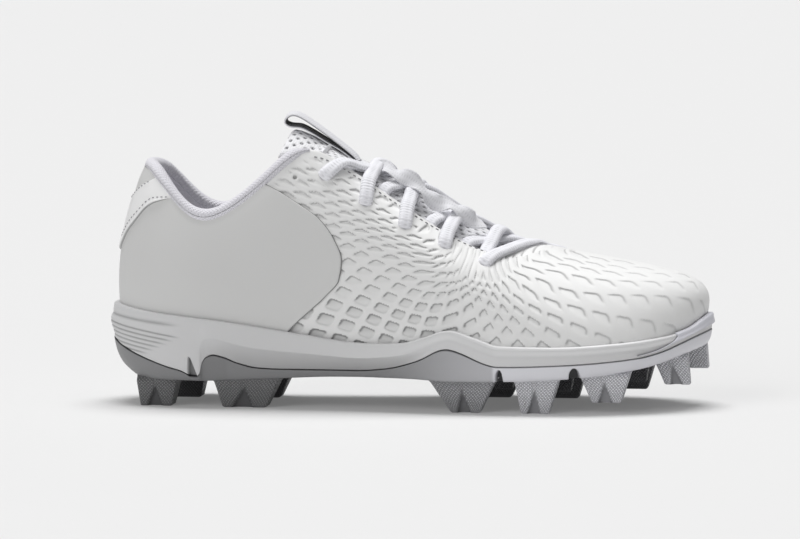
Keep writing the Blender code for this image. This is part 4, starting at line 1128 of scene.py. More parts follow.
class CLEAT_OT_collar(bpy.types.Operator):
    """Padded knit roll on the topline, thinning towards the throat"""
    bl_idname = "cleat.collar"
    bl_label = "Collar"

    def execute(self, context):
        _, colours = settings(context)
        knit = finish_material("collar_knit", colours.knit, 0.92, sheen=0.3,
                               yarn=(3.2, 0.9, 0.3, shaded(colours.knit, 0.78)))
        outer, inner = rib_place("instep_lat"), rib_place("instep_med") - 1
        at = np.linspace(inner, outer, COLLAR_STEPS)
        out, up = last_frame(at, 1.0)
        near = np.minimum(at - inner, outer - at)
        scale = CUFF_END_SCALE + (1 - CUFF_END_SCALE) * ramp(0.0, CUFF_TAPER, near)
        section, heel = (smooth_route(loop + loop[:3], CUFF_DETAIL)[CUFF_DETAIL:CUFF_DETAIL * (len(loop) + 1)]
                         * CUFF_SCALE for loop in (CUFF_SECTION, CUFF_HEEL_SECTION))
        base = last(at, 1.0) + up * CUFF_LIFT
        full = ramp(*CUFF_HEEL_SPAN, np.abs(at))[:, None, None]
        sections = (heel + (section - heel) * full) * scale[:, None, None]
        rings = base[:, None] + out[:, None] * sections[..., :1] + up[:, None] * sections[..., 1:]
        run, turn = run_along(base)[:, None], run_along(section)
        cloth = cloth_grid(run + turn, run - turn)
        closed = [np.repeat(ring.mean(axis=1, keepdims=True), len(section), axis=1)
                  for ring in (rings[:1], rings[-1:])]
        rings = np.concatenate([closed[0], rings, closed[1]])
        cloth = np.concatenate([cloth[:1], cloth, cloth[-1:]])
        patches = Patches()
        patches.add(rings, False, True, cloth=cloth)
        piece = dress("collar_roll", patches, knit, ("collar_cuff",), weld=True)
        return {"FINISHED"}


TONGUE_STEPS = 76
TONGUE_STATIONS = 12
TONGUE_DETAIL = 12
TONGUE_HANDLES = (0.05, 0.6)
STEEPEST_CLIMB = 2.5
ROUNDED_SIDE = 0.14
ROUNDED_END = 2.2
# Perforations of the mesh: spacing, shares of their size where they start and end, free edge, depth
HOLE_SPACING = 5.2
HOLE_EDGE = (1.35, 0.7)
HOLE_MARGIN = (2.5, 4.0)
HOLE_DEPTH = 0.5
HOLE_SHADE = (0.10, 0.10, 0.11)


def across_face(face, over):
    """The direction on a sloping face that runs straight over in plan."""
    climb = np.clip(-face.dot(over) / max(face[2], 0.1), 0.0, STEEPEST_CLIMB)
    return unit(over + np.array([0.0, 0.0, climb]))


def tongue_rows(steps, stations):
    """Rows of points across the tongue's top face, from its free top to the front of the throat."""
    under = -(UPPER_WALL + TONGUE_GAP)
    across = np.linspace(0.0, 1.0, steps + 1)
    rows = []
    for x, z, half_width, drop, back in reversed(TONGUE_TOP):
        side = 2 * across - 1
        bow = side ** 2
        rows.append(np.column_stack([x - back * bow, side * half_width + TONGUE_MIDDLE, z - drop * bow]))
    outer = np.linspace(rib_place("instep_lat"), rib_place("toe_corner_lat"), stations)
    inner = np.linspace(rib_place("instep_med"), rib_place("toe_corner_med"), stations)
    for pair in np.column_stack([outer, inner]):
        left, right = shell(pair, np.full(2, TONGUE_EDGE_ROW), np.full(2, under))
        left_face, right_face = last_frame(pair, TONGUE_EDGE_ROW)[0]
        over = unit((right - left) * np.array([1.0, 1.0, 0.0]))
        left_run = across_face(left_face, over)
        right_run = across_face(right_face, -over)
        ridge = float(level(TONGUE_RIDGE, (left[0] + right[0]) / 2))
        reach = (8 * ridge - 4 * (left[2] + right[2])) / (3 * (left_run[2] + right_run[2]))
        reach = np.clip(reach, TONGUE_HANDLES[0], TONGUE_HANDLES[1] * np.linalg.norm(right - left))
        t = across[:, None]
        rows.append(left * (1 - t) ** 3 + 3 * (left + left_run * reach) * t * (1 - t) ** 2
                    + 3 * (right + right_run * reach) * t ** 2 * (1 - t) + right * t ** 3)
    front = np.linspace(outer[-1], inner[-1], steps + 1)
    rows.append(shell(front, np.full(steps + 1, TONGUE_EDGE_ROW), np.full(steps + 1, under)))
    return np.array(rows)


def rounded_drop(past):
    """How far the tongue's face falls near an edge: from 0, where the rounding starts, to 1 at the edge."""
    return TONGUE_WALL / 2 * (1 - np.sqrt(np.clip(1 - np.maximum(past, 0) ** 2, 0, 1)))


class CLEAT_OT_tongue(bpy.types.Operator):
    """Padded mesh tongue with its perforations"""
    bl_idname = "cleat.tongue"
    bl_label = "Tongue"

    def execute(self, context):
        sizes, colours = settings(context)
        mesh = finish_material("tongue_mesh", colours.mesh, 0.9, sheen=0.2,
                               yarn=(2.2, 1.0, 0.15, shaded(colours.mesh, 0.8)),
                               tints=(("hole", HOLE_SHADE),))
        rows = tongue_rows(TONGUE_STEPS, TONGUE_STATIONS)
        top = smooth_route(rows.reshape(len(rows), -1), TONGUE_DETAIL).reshape(-1, TONGUE_STEPS + 1, 3)
        over = run_along(top, 1)
        over = over - over[:, TONGUE_STEPS // 2, None]
        end = run_along(top[:, TONGUE_STEPS // 2])[:, None]
        run = np.broadcast_to(end, over.shape)
        normals = grid_normals(top)
        if normals[..., 2].mean() < 0:
            normals = -normals
        a = (run + over) / HOLE_SPACING
        b = (run - over) / HOLE_SPACING
        far = np.hypot(a - np.round(a), b - np.round(b)) * HOLE_SPACING / math.sqrt(2)
        hole = ramp(*(share * sizes.perforation / MM for share in HOLE_EDGE), far)
        hole = hole * ramp(*HOLE_MARGIN, np.minimum(over - over[:, :1], over[:, -1:] - over))
        side = np.abs(np.linspace(-1, 1, TONGUE_STEPS + 1))
        drop = np.maximum(rounded_drop((side - 1 + ROUNDED_SIDE) / ROUNDED_SIDE), rounded_drop(1 - end / ROUNDED_END))
        face = top - normals * (drop + HOLE_DEPTH * hole)[..., None]
        back = top - normals * (TONGUE_WALL - drop)[..., None]
        cloth = cloth_grid(run, over)
        ring = np.concatenate([face, back[:, ::-1]], axis=1)
        cloth = np.concatenate([cloth, cloth[:, ::-1]], axis=1)
        hole = np.concatenate([hole, 0 * hole], axis=1)
        patches = Patches()
        patches.add(ring, False, True, cloth=cloth, hole=hole)
        piece = dress("tongue_pad", patches, mesh, ("tongue",), weld=True)
        return {"FINISHED"}


LOOP_DETAIL = 10
LOOP_STEP = 0.5
LOOP_SIDES = 28
LOOP_SQUARENESS = 5.0
LOOP_INSIDE = 0.05


class CLEAT_OT_pull_loop(bpy.types.Operator):
    """Webbing loop at the tongue's top, pale outside and charcoal inside"""
    bl_idname = "cleat.pull_loop"
    bl_label = "Pull Loop"

    def execute(self, context):
        _, colours = settings(context)
        web = finish_material("pull_webbing", colours.webbing, 0.85, sheen=0.15,
                              yarn=(2.2, 0.8, 0.2, shaded(colours.webbing, 0.75)),
                              tints=(("inside", colours.webbing_inside),))
        route = smooth_route([(x, TONGUE_MIDDLE, z) for x, z in LOOP_ROUTE], LOOP_DETAIL)
        route, run = evenly(route, LOOP_STEP)
        lean = unit(np.array(LOOP_LEAN))
        runs = unit(np.gradient(route, axis=0))
        flat = unit(lean - runs * (runs @ lean)[:, None])
        facing = unit(np.cross(runs, flat))
        turn = np.linspace(0, 2 * np.pi, LOOP_SIDES, endpoint=False)
        inside = (np.sin(turn) > LOOP_INSIDE).astype(float)
        cloth = cloth_grid(run[:, None], np.cos(turn) * LOOP_WIDTH / 2)
        patches = Patches()
        tube(patches, route, facing, LOOP_WIDTH, LOOP_THICKNESS, LOOP_SIDES, LOOP_SQUARENESS, cloth=cloth,
             inside=np.broadcast_to(inside, (len(route), LOOP_SIDES)))
        dress("pull_loop_strap", patches, web, ("pull_loop",), weld=True)
        return {"FINISHED"}


# Laces

ABOVE_ALL = 300.0
TAUT_SAMPLES = 33
TAUT_POINTS = 11
STEEPEST_FACE = 0.7
FACE_UPWARD = (0.0, 0.0, 0.6)
# How a strand's end goes down, in shares of its thickness; under the throat's edge after a run in millimetres
EYELET_END = (0.15, -0.9)
DIVE_END = ((3, 0.9), (6, 1.6))
LACE_LIFT = 0.48
BAR_LIFT = 1.35
CROSSING_RISE = 0.6
TOP_RUN_SHARE = 6.75
LACE_DETAIL = 6
LACE_STEP = 0.32
LACE_EASING = 90
LACE_SIDES = 20
LACE_SQUARENESS = 2.4
LACE_ROUND = 1.9
LACE_RIB = 0.04
LACE_RIB_PITCH = 1.6
KEEPER_WIDTH = 8.0
KEEPER_THICKNESS = 1.0
KEEPER_SIDES = 20
KEEPER_SQUARENESS = 3.0
KEEPER_ROUND = 16
KEEPER_DETAIL = 8
KEEPER_STEP = 0.5
KEEPER_EASING = 24
KEEPER_CLEARANCE = 1.1
KEEPER_TILT = (46, 30)
THROAT_SEAMS = (("instep_lat", "toe_corner_lat"), ("instep_med", "toe_corner_med"))
THROAT_SEAM_ROW = 0.965
THROAT_SEAM_LIFT = 0.08
THROAT_SEAM_SAMPLES = 160


def node_tree(name):
    """Search tree of one CAD node, in metres on the frame."""
    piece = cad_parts[name]
    mesh = piece.data
    return BVHTree.FromPolygons([v.co for v in mesh.vertices], [tuple(p.vertices) for p in mesh.polygons])


def surface_under(trees, x, y):
    """Highest surface under a plan point, in millimetres, with its direction."""
    start = Vector((x + SHIFT[0], y + SHIFT[1], ABOVE_ALL)) * MM
    hits = [tree.ray_cast(start, Vector((0, 0, -1)))[:2] for tree in trees]
    hits = [hit for hit in hits if hit[0]]
    if not hits:
        return None
    point, normal = max(hits, key=lambda hit: hit[0].z)
    return point.z / MM, np.array(normal)


def taut_route(trees, start, end, lift, width):
    """A lace straight in plan between two points, drawn tight over what lies under its width."""
    start, end = np.array(start, float), np.array(end, float)
    run = unit(end - start)
    aside = np.array([run[1], -run[0]]) * width / 2
    length = np.linalg.norm(end - start)
    line, faces = [], []
    for share in np.linspace(0.0, 1.0, TAUT_SAMPLES):
        middle = start + run * length * share
        found = [surface_under(trees, *(middle + aside * k)) for k in (-0.6, 0, 0.6)]
        found = [under for under in found if under is not None]
        face = unit(sum(face for _, face in found))
        line.append((length * share, np.mean([z for z, _ in found]) + lift / max(face[2], STEEPEST_FACE)))
        faces.append(face)
    hull = []
    for s, z in line:
        while len(hull) > 1 and ((hull[-1][1] - hull[-2][1]) * (s - hull[-2][0])
                                 <= (z - hull[-2][1]) * (hull[-1][0] - hull[-2][0])):
            hull.pop()
        hull.append((s, z))
    hull = np.array(hull)
    places = np.linspace(0.0, length, TAUT_POINTS)
    heights = np.interp(places, hull[:, 0], hull[:, 1])
    facing = np.array(faces)[np.linspace(0, TAUT_SAMPLES - 1, TAUT_POINTS).round().astype(int)]
    return np.column_stack([start + run * places[:, None], heights]), unit(facing + np.array(FACE_UPWARD))


def eyelet_point(side, x, row):
    """An eyelet's place on the upper and the direction it faces."""
    at = np.array([place_at_x(side, row, x)])
    return last(at, row)[0], last_frame(at, row)[0][0]


def into_eyelet(points, faces, eyelet, thickness):
    """The end of a strand that turns down into its eyelet."""
    centre, face = eyelet
    ends = np.array([centre + face * share * thickness for share in EYELET_END])
    return np.vstack([points, ends]), np.vstack([faces, face, face])


def dive_run(points, faces, thickness):
    """The end of a strand that passes down under the throat's edge."""
    run = unit(points[-1] - points[-2])
    run[2] = 0
    ends = np.array([points[-1] + run * far - [0, 0, thickness * down] for far, down in DIVE_END])
    return np.vstack([points, ends]), np.vstack([faces, faces[-1:], faces[-1:]])


def lace_strands():
    """Every visible strand: its node, how high it crosses, and two ends, each an eyelet or a place in plan."""
    outer = [eyelet_point(-1, *place) for place in EYELETS_OUTER]
    inner = [eyelet_point(1, *place) for place in EYELETS_INNER]
    yield "lace_bar_1", 0.0, outer[0], inner[0]
    for k in range(1, len(outer)):
        top = k == len(outer) - 1
        node = "lace_cross_%d" % (k + 1)
        yield (node, 2.0 if k == 1 else 1.0, FIRST_OUTER if k == 1 else outer[k - 1],
               inner[k] if top else (DIVE_INNER[k], DIVE_REACH))
        yield (node, 0.0, outer[k] if top else (DIVE_OUTER[k], -DIVE_REACH),
               FIRST_INNER if k == 1 else inner[k - 1])


def strand_line(trees, node, over, ends, width, thickness):
    """Points and directions of one strand, its ends turned into eyelets or under the throat's edges."""
    held = [isinstance(end[0], np.ndarray) for end in ends]
    plan = [end[0][:2] if fast else end for end, fast in zip(ends, held)]
    bar = node == "lace_bar_1"
    lift = thickness * LACE_LIFT * (BAR_LIFT if bar else 1.0)
    points, faces = taut_route(trees, plan[0], plan[1], lift, width)
    share = np.linspace(0, 1, len(points))
    points[:, 2] -= bar * thickness * (0.5 * ramp(0.45, 0.0, share) + 0.7 * ramp(0.5, 0.8, share))
    points[:, 2] += over * thickness * CROSSING_RISE * np.sin(np.pi * share) ** 2
    if node == "lace_cross_5" and not over:
        points += np.outer(TOP_RUN_SHARE * share * (1 - share) ** 2, TOP_RUN_BEND)
    for end, fast in zip(ends[::-1], held[::-1]):
        if fast:
            points, faces = into_eyelet(points[:-1], faces[:-1], end, thickness)
        else:
            points, faces = dive_run(points, faces, thickness)
        points, faces = points[::-1], faces[::-1]
    return points, faces


def keeper_line(crossed, width, thickness):
    """Route, directions and run of the ribbon, lifted over the strands it crosses."""
    route, run = evenly(smooth_route(KEEPER_ROUTE, KEEPER_DETAIL), KEEPER_STEP)
    for strand in crossed:
        apart = np.linalg.norm(route[:, None, :2] - strand[None, :, :2], axis=2)
        above = strand[apart.argmin(axis=1), 2] + thickness / 2 + KEEPER_CLEARANCE
        near = apart.min(axis=1) < width / 2
        route[near, 2] = np.maximum(route[near, 2], above[near])
    middle, swing = KEEPER_TILT
    twist = np.radians(middle + swing * np.sin(2 * np.pi * (run / KEEPER_TURN)))
    facing = np.column_stack([0.4 * np.cos(twist), -np.sin(twist), 0.9 * np.cos(twist)])
    return eased(route, KEEPER_EASING), unit(facing), run


class CLEAT_OT_laces(bpy.types.Operator):
    """Lace through its eyelets: the bar at the front and the crossings above it, with the flat keeper ribbon"""
    bl_idname = "cleat.laces"
    bl_label = "Laces"

    def execute(self, context):
        sizes, colours = settings(context)
        width, thickness = sizes.lace_width / MM, sizes.lace_thickness / MM
        cotton = finish_material("lace_weave", colours.lace, 0.85, sheen=0.2,
                                 yarn=(2.8, 0.7, 0.22, shaded(colours.lace, 0.82)))
        trees = [node_tree(name) for name in ("upper", "tongue")]
        turn = np.linspace(0, 2 * np.pi, LACE_SIDES, endpoint=False)
        made, crossed = {}, []
        for node, over, *ends in lace_strands():
            points, faces = strand_line(trees, node, over, ends, width, thickness)
            facing = unit(smooth_route(faces, LACE_DETAIL))
            route, facing, run = evenly(smooth_route(points, LACE_DETAIL), LACE_STEP, facing)
            route = eased(route, LACE_EASING)
            if over and node in KEEPER_OVER:
                crossed.append(route)
            ribbed = 1 + LACE_RIB * np.sin(run * 2 * np.pi / LACE_RIB_PITCH)
            tube(made.setdefault(node, Patches()), route, unit(facing), width * ribbed, thickness * ribbed,
                 LACE_SIDES, LACE_SQUARENESS, cloth=cloth_grid(run[:, None], turn * LACE_ROUND))
        for node, patches in made.items():
            dress(node + "_weave", patches, cotton, (node,), weld=True)
        grey = finish_material("keeper_weave", colours.keeper, 0.8, sheen=0.2,
                               yarn=(2.4, 0.7, 0.12, shaded(colours.keeper, 0.85)))
        route, facing, run = keeper_line(crossed, width, thickness)
        patches = Patches()
        tube(patches, route, facing, KEEPER_WIDTH, KEEPER_THICKNESS, KEEPER_SIDES, KEEPER_SQUARENESS,
             cloth=cloth_grid(run[:, None], np.linspace(0, KEEPER_ROUND, KEEPER_SIDES)))
        dress("keeper_ribbon", patches, grey, weld=True)
        thread = finish_material("throat_thread", colours.thread, 0.8, grain=(3000.0, 0.02, 0.05))
        patches = Patches()
        for first, final in THROAT_SEAMS:
            at = np.linspace(rib_place(first), rib_place(final), THROAT_SEAM_SAMPLES)
            line = shell(at, np.full(len(at), THROAT_SEAM_ROW), np.full(len(at), THROAT_SEAM_LIFT))
            add_stitches(patches, line, last_frame(at, THROAT_SEAM_ROW)[0], sizes)
        dress("throat_stitches", patches, thread, weld=True)
        return {"FINISHED"}


# Sole

SOLE_COLUMNS = 560
SIDE_ROWS = 64
FINE_SPANS = ((-101.0, -84.0, 56), (40.0, 49.0, 24), (73.0, 83.0, 24))
BELLY_TUCK = ((-140, 0.0), (-92, 0.0), (-80, 3.6), (-20, 6.0), (0, 3.2), (16, 0.6), (30, 0.0), (140, 0.0))
CREASE_SPANS = ((-96, -84), (10, -6))
ARCH_SPANS = ((-96.0, -70.0), (18.0, -6.0))
ARCH_SHADE = 0.5


def sole_places():
    """Places of the sole's columns, closer together at the notch and the rim's cuts."""
    places = list(np.linspace(0.0, 1.0, SOLE_COLUMNS, endpoint=False))
    for low, high, count in FINE_SPANS:
        for side in (-1, 1):
            places += [float(place_at_x(side, 0.0, x)) for x in np.linspace(low, high, count)]
    return np.unique(np.round(np.mod(places, 1.0), 6))


def mirror_places(line):
    """For each column of the sole, the point of the other side's edge that lies straight across."""
    half = np.argmax(line[:, 0])
    outer, inner = line[:half + 1], line[half:][::-1]
    sides = []
    for across, own in ((inner, line[:half]), (outer, line[half:])):
        rank = np.argsort(across[:, 0])
        sides.append(np.column_stack([own[:, 0]] + [np.interp(own[:, 0], across[rank, 0], across[rank, k])
                                                    for k in (1, 2)]))
    return np.vstack(sides)


class Outline:
    """Columns round the sole with what every ring needs."""

    def __init__(self, at):
        self.at = at
        self.x = last(at, 0.0)[:, 0]
        self.out = outward(at)
        self.lip = level(LIP, self.x)
        self.rim = level(RIM, self.x)
        self.plate = level(PLATE, self.x)
        self.wall = shell(at, row_at_height(at, self.lip), np.full(len(at), GAP))
        self.reach = [edge(name, self.x) for name in ("lip", "belly", "rim")]

    def side(self, share, away=0.0):
        """A ring on the midsole's side, from its lip (0) over the belly (0.5) to the rim (1)."""
        low = self.lip - LIP_BEVEL
        lip, belly, rim = self.reach
        rim = rim - np.interp(self.x, *np.transpose(BELLY_TUCK))
        sharp = ramp(*CREASE_SPANS[0], self.x) * ramp(*CREASE_SPANS[1], self.x)
        t = share * 2 if share < 0.5 else share * 2 - 1
        soft = t * t * (3 - 2 * t)
        first, second = (lip, belly) if share < 0.5 else (belly, rim)
        out = first + (second - first) * (soft + (t - soft) * sharp)
        ring = self.wall + self.out * (out + away)[:, None]
        ring[:, 2] = low + (self.rim - low) * share
        return ring

    def inset(self, ring, distance, height):
        """A ring moved in by a distance and set to a height."""
        moved = ring - self.out * np.broadcast_to(distance, len(ring))[:, None]
        moved[:, 2] = height
        return moved


# Grooves round the heel, as (height at the back, slope, half width, fading span along the foot, depth, shade)
HEEL_BACK = -135.0
HEEL_GROOVES = tuple((37.0 - 2.0 * k, 0.155, 0.36, (-101.0 - 3.0 * k, -108.0 - 3.0 * k), 0.3, 0.85)
                     for k in range(6)) + ((40.6, 0.10, 0.8, (-100.0, -112.0), 0.6, 0.5),)


def heel_ribs(points):
    """How deep the ribs and the soft groove round the heel are pressed into the midsole, and the painted shade they
    get.
    """
    x, z = points[..., 0], points[..., 2]
    depth, shade = np.zeros(x.shape), np.zeros(x.shape)
    for high, slope, half, span, deep, dark in HEEL_GROOVES:
        line = high - slope * (x - HEEL_BACK)
        groove = np.exp(-((z - line) / half) ** 2) * ramp(*span, x)
        depth, shade = np.maximum(depth, deep * groove), np.maximum(shade, dark * groove)
    return depth, shade


# Narrow leaning cut in the midsole, at the back of the notch between the heel studs
SLOT_X = -96.4
SLOT_LEVEL = 15.0
SLOT_LEAN = 0.18
SLOT_HALF = 2.1
SLOT_FOOT = 14.0
SLOT_HEIGHT = 10.5
SLOT_TOP = (23.6, 22.4)
SLOT_EDGE = 0.45
SLOT_DEPTH = 3.0


def heel_slot(points):
    """Where the narrow cut is: it leans, and closes towards its top."""
    x, z = points[..., 0], points[..., 2]
    half = SLOT_HALF * np.clip(1 - (z - SLOT_FOOT) / SLOT_HEIGHT, 0, 1)
    away = np.abs(x - SLOT_X + SLOT_LEAN * (z - SLOT_LEVEL)) - half
    return ramp(SLOT_EDGE, -SLOT_EDGE, away) * ramp(*SLOT_TOP, z)


# Rounding of the lip's edge, as (inward, up), and how far the painted highlight on the lip's top edge reaches
LIP_ROLL = ((-1.0, 0.15), (-0.3, -0.2))
BEVEL_SHARES = (0.12, 0.05)
BEVEL_SPAN = (24.0, 40.0)
BEVEL_GLOW = 0.7


class CLEAT_OT_midsole(bpy.types.Operator):
    """Foam midsole: lip with its rounded edge and painted highlight, belly with its sharp bend, ribs round the heel,
    and painted shade in the ribs, the cut and under the arch
    """
    bl_idname = "cleat.midsole"
    bl_label = "Midsole"

    def execute(self, context):
        _, colours = settings(context)
        # Painted shade in the heel's ribs, the cut and the arch's lower belly, and a painted highlight on the lip's
        # top edge
        foam = finish_material("midsole_foam", colours.midsole, 0.55, grain=(1300.0, 0.03, 0.03),
                               tints=(("crease", shaded(colours.midsole, 0.4)),
                                      ("bevel", shaded(colours.midsole, 1.25))))
        line = Outline(sole_places())
        lip_high = line.lip - 0.1
        rings = [line.inset(line.wall, 0.6, line.lip - 3.0), line.inset(line.wall, 0.2, lip_high)]
        rings += [line.inset(line.side(0.0, away), 0.0, lip_high + rise) for away, rise in LIP_ROLL]
        bevel = [0.0, 1.0, 1.0, 1.0]
        for share in np.linspace(0.0, 1.0, SIDE_ROWS):
            rings.append(line.side(share))
            bevel.append(float(ramp(*BEVEL_SHARES, share)))
        rim = line.side(1.0)
        rings.append(line.inset(rim, 0.5, rim[:, 2] - 0.2))
        rings.append(line.inset(rim, RIM_WALL, rim[:, 2]))
        bevel += [0.0, 0.0]
        points = np.array(rings)
        depth, shade = heel_ribs(points)
        slot = heel_slot(points)
        # The ribs and the cut are pressed in and also get painted shade
        depth, shade = np.maximum(depth, SLOT_DEPTH * slot), np.maximum(shade, slot)
        low = line.lip - LIP_BEVEL
        drop = np.clip((low - points[..., 2]) / (low - line.rim), 0.0, 1.0)
        points = points - line.out * depth[..., None]
        # Painted shade on the lower half of the belly under the arch
        arch = ramp(*ARCH_SPANS[0], line.x) * ramp(*ARCH_SPANS[1], line.x)
        fall = ramp(0.47, 0.53, drop) * (0.55 + 0.45 * ramp(0.5, 1.0, drop))
        shade = np.maximum(shade, ARCH_SHADE * arch * fall)
        # Painted highlight on the lip's top rows, towards the front
        glow = np.array(bevel)[:, None] * ramp(*BEVEL_SPAN, line.x)[None] * BEVEL_GLOW
        patches = Patches()
        patches.add(points, False, True, crease=shade, bevel=glow)
        dress("midsole_foam", patches, foam, ("midsole",), inward=True)
        return {"FINISHED"}


BUMPER_START = 104.0
BUMPER_COLUMNS = 260
# Section from the top edge down, as (share of its height, distance out), and its top where it covers the lip
BUMPER_PROFILE = ((0.0, 0.1), (0.02, 0.8), (0.06, 1.15), (0.15, 1.2), (0.3, 1.2), (0.5, 1.2), (0.7, 1.2),
                  (0.85, 1.2), (0.94, 1.15), (0.98, 0.8), (1.0, 0.1))
BUMPER_COVER = ((-1.2, 0.6), (0.7, 0.5), (1.15, -0.2))
SIDE_SHARES = 40


class CLEAT_OT_toe_bumper(bpy.types.Operator):
    """Guard round the toe on the midsole's side"""
    bl_idname = "cleat.toe_bumper"
    bl_label = "Toe Bumper"

    def execute(self, context):
        _, colours = settings(context)
        rubber = finish_material("bumper_rubber", colours.bumper, 0.45, grain=(1600.0, 0.02, 0.03),
                                 tints=(("crease", shaded(colours.bumper, 0.25)),))
        start = float(place_at_x(-1, 0.0, BUMPER_START))
        stop = float(place_at_x(1, 0.0, BUMPER_START))
        line = Outline(np.linspace(start, stop, BUMPER_COLUMNS))
        x = line.side(0.5)[:, 0]
        low = line.lip - LIP_BEVEL

        def share_of(height):
            """A height on the midsole's side, as a share from its lip to the rim."""
            return np.clip((height - low) / (line.rim - low), 0.0, 1.0)

        high_share = share_of(level(BUMPER_TOP, x))
        low_share = np.maximum(share_of(level(BUMPER_BOTTOM, x)), high_share + 0.01)
        rings = []
        table = np.array([line.side(share) for share in np.linspace(0, 1, SIDE_SHARES + 1)])
        column = np.arange(len(x))
        for step, lift in BUMPER_PROFILE:
            share = (high_share + (low_share - high_share) * step) * SIDE_SHARES
            i = np.clip(share.astype(int), 0, SIDE_SHARES - 1)
            t = (share - i)[:, None]
            rings.append(table[i, column] * (1 - t) + table[i + 1, column] * t + line.out * lift)
        cover = ramp(0.03, 0.0, high_share)[:, None]
        for k, (away, rise) in enumerate(BUMPER_COVER):
            top = line.inset(line.side(0.0, away), 0.0, line.lip + rise)
            rings[k] = rings[k] * (1 - cover) + top * cover
        # Painted shade along the bumper's top edge, less where it covers the lip, and along its lower edge
        shade = np.zeros((len(rings), len(x)))
        shade[:2] = 1.0 - cover[:, 0]
        shade[-2:] = 1.0
        patches = Patches()
        patches.add(np.array(rings), crease=shade)
        dress("toe_bumper_rubber", patches, rubber, ("toe_bumper",), inward=True)
        return {"FINISHED"}


def stud_rows():
    """Every stud with its side: -1 outer, 1 inner, 0 along the middle."""
    for name, row in STUDS.items():
        outer = dict(zip(STUD_COLUMNS, row))
        inner = dict(outer)
        for column in ("root_x", "tip_x"):
            inner[column] += INNER_FORWARD[name]
        inner["y"] -= INNER_CLOSER[name]
        outer["y"] = -outer["y"]
        yield -1, outer
        yield 1, inner
    for row in SINGLE_STUDS.values():
        stud = dict(zip(STUD_COLUMNS, row))
        yield 0 if abs(stud["y"]) < SINGLE_STUD_MIDDLE else int(np.sign(stud["y"])), stud


# Rim's upper edge, as (inward, down, shade), and its cuts, as (x, half width, height)
RIM_EDGE = ((RIM_WALL, 0.0, 1.0), (0.5, 0.0, 1.0), (0.1, 0.4, 0.8))
RIM_CUTS = ((44.6, 1.5, 5.5), (78.4, 2.4, 5.0))
RIM_CUT_DEPTH = 5.0
RIM_SHARES = np.linspace(0.06, 1.0, 24)
UNDER_SHARES = (0.04, 0.12, 0.25, 0.4, 0.5)
UNDER_DISH = 0.8
FRONT_EDGE = (41.0, 43.0)
FAINT_RIM_SPAN = (20.0, 60.0)
SHADE_FADE_SPAN = (-14.0, 44.0)
RIM_SHADE = (0.03, 0.03, 0.032)
STUD_SHADE = (0.05, 0.05, 0.055)
LAST_SHADED_STUD = 115.0
STUD_LEVELS = 31
STUD_FACE_POINTS = 22
STUD_CORNER = 0.16
GROOVE_TOP = 0.66
GROOVE_DEPTH = 2.2
GROOVE_OFFSET = 0.04
STUD_MARGIN = 0.4
STUD_SINK = 2.0
STUD_FLARE = 0.14
STUD_TIP_BEVEL = 0.3


def stud_section():
    """Points round a rectangle of half size 1 with rounded corners, evenly along its faces."""
    flat = np.linspace(-1 + STUD_CORNER, 1 - STUD_CORNER, STUD_FACE_POINTS)
    bend = np.linspace(0, np.pi / 2, 6)[1:-1]
    side = np.column_stack([flat, np.full(len(flat), -1.0)])
    corner = np.column_stack([np.sin(bend) - 1, 1 - np.cos(bend)]) * STUD_CORNER + np.array([1.0, -1.0])
    part = np.vstack([side, corner])
    turns = [np.column_stack([part[:, 0] * c - part[:, 1] * s, part[:, 0] * s + part[:, 1] * c])
             for c, s in ((1, 0), (0, 1), (-1, 0), (0, -1))]
    return -np.vstack(turns)


def within(points, edge_line, share):
    """Across places held inside the sole's edge, by a share from 0 to 1."""
    x, y = points
    front = np.argmax(edge_line[:, 0])
    outer, inner = edge_line[:front + 1], edge_line[front:][::-1]
    low = np.interp(x, outer[:, 0], outer[:, 1]) + STUD_MARGIN
    high = np.interp(x, inner[:, 0], inner[:, 1]) - STUD_MARGIN
    return y + (np.clip(y, low, np.maximum(low, high)) - y) * share


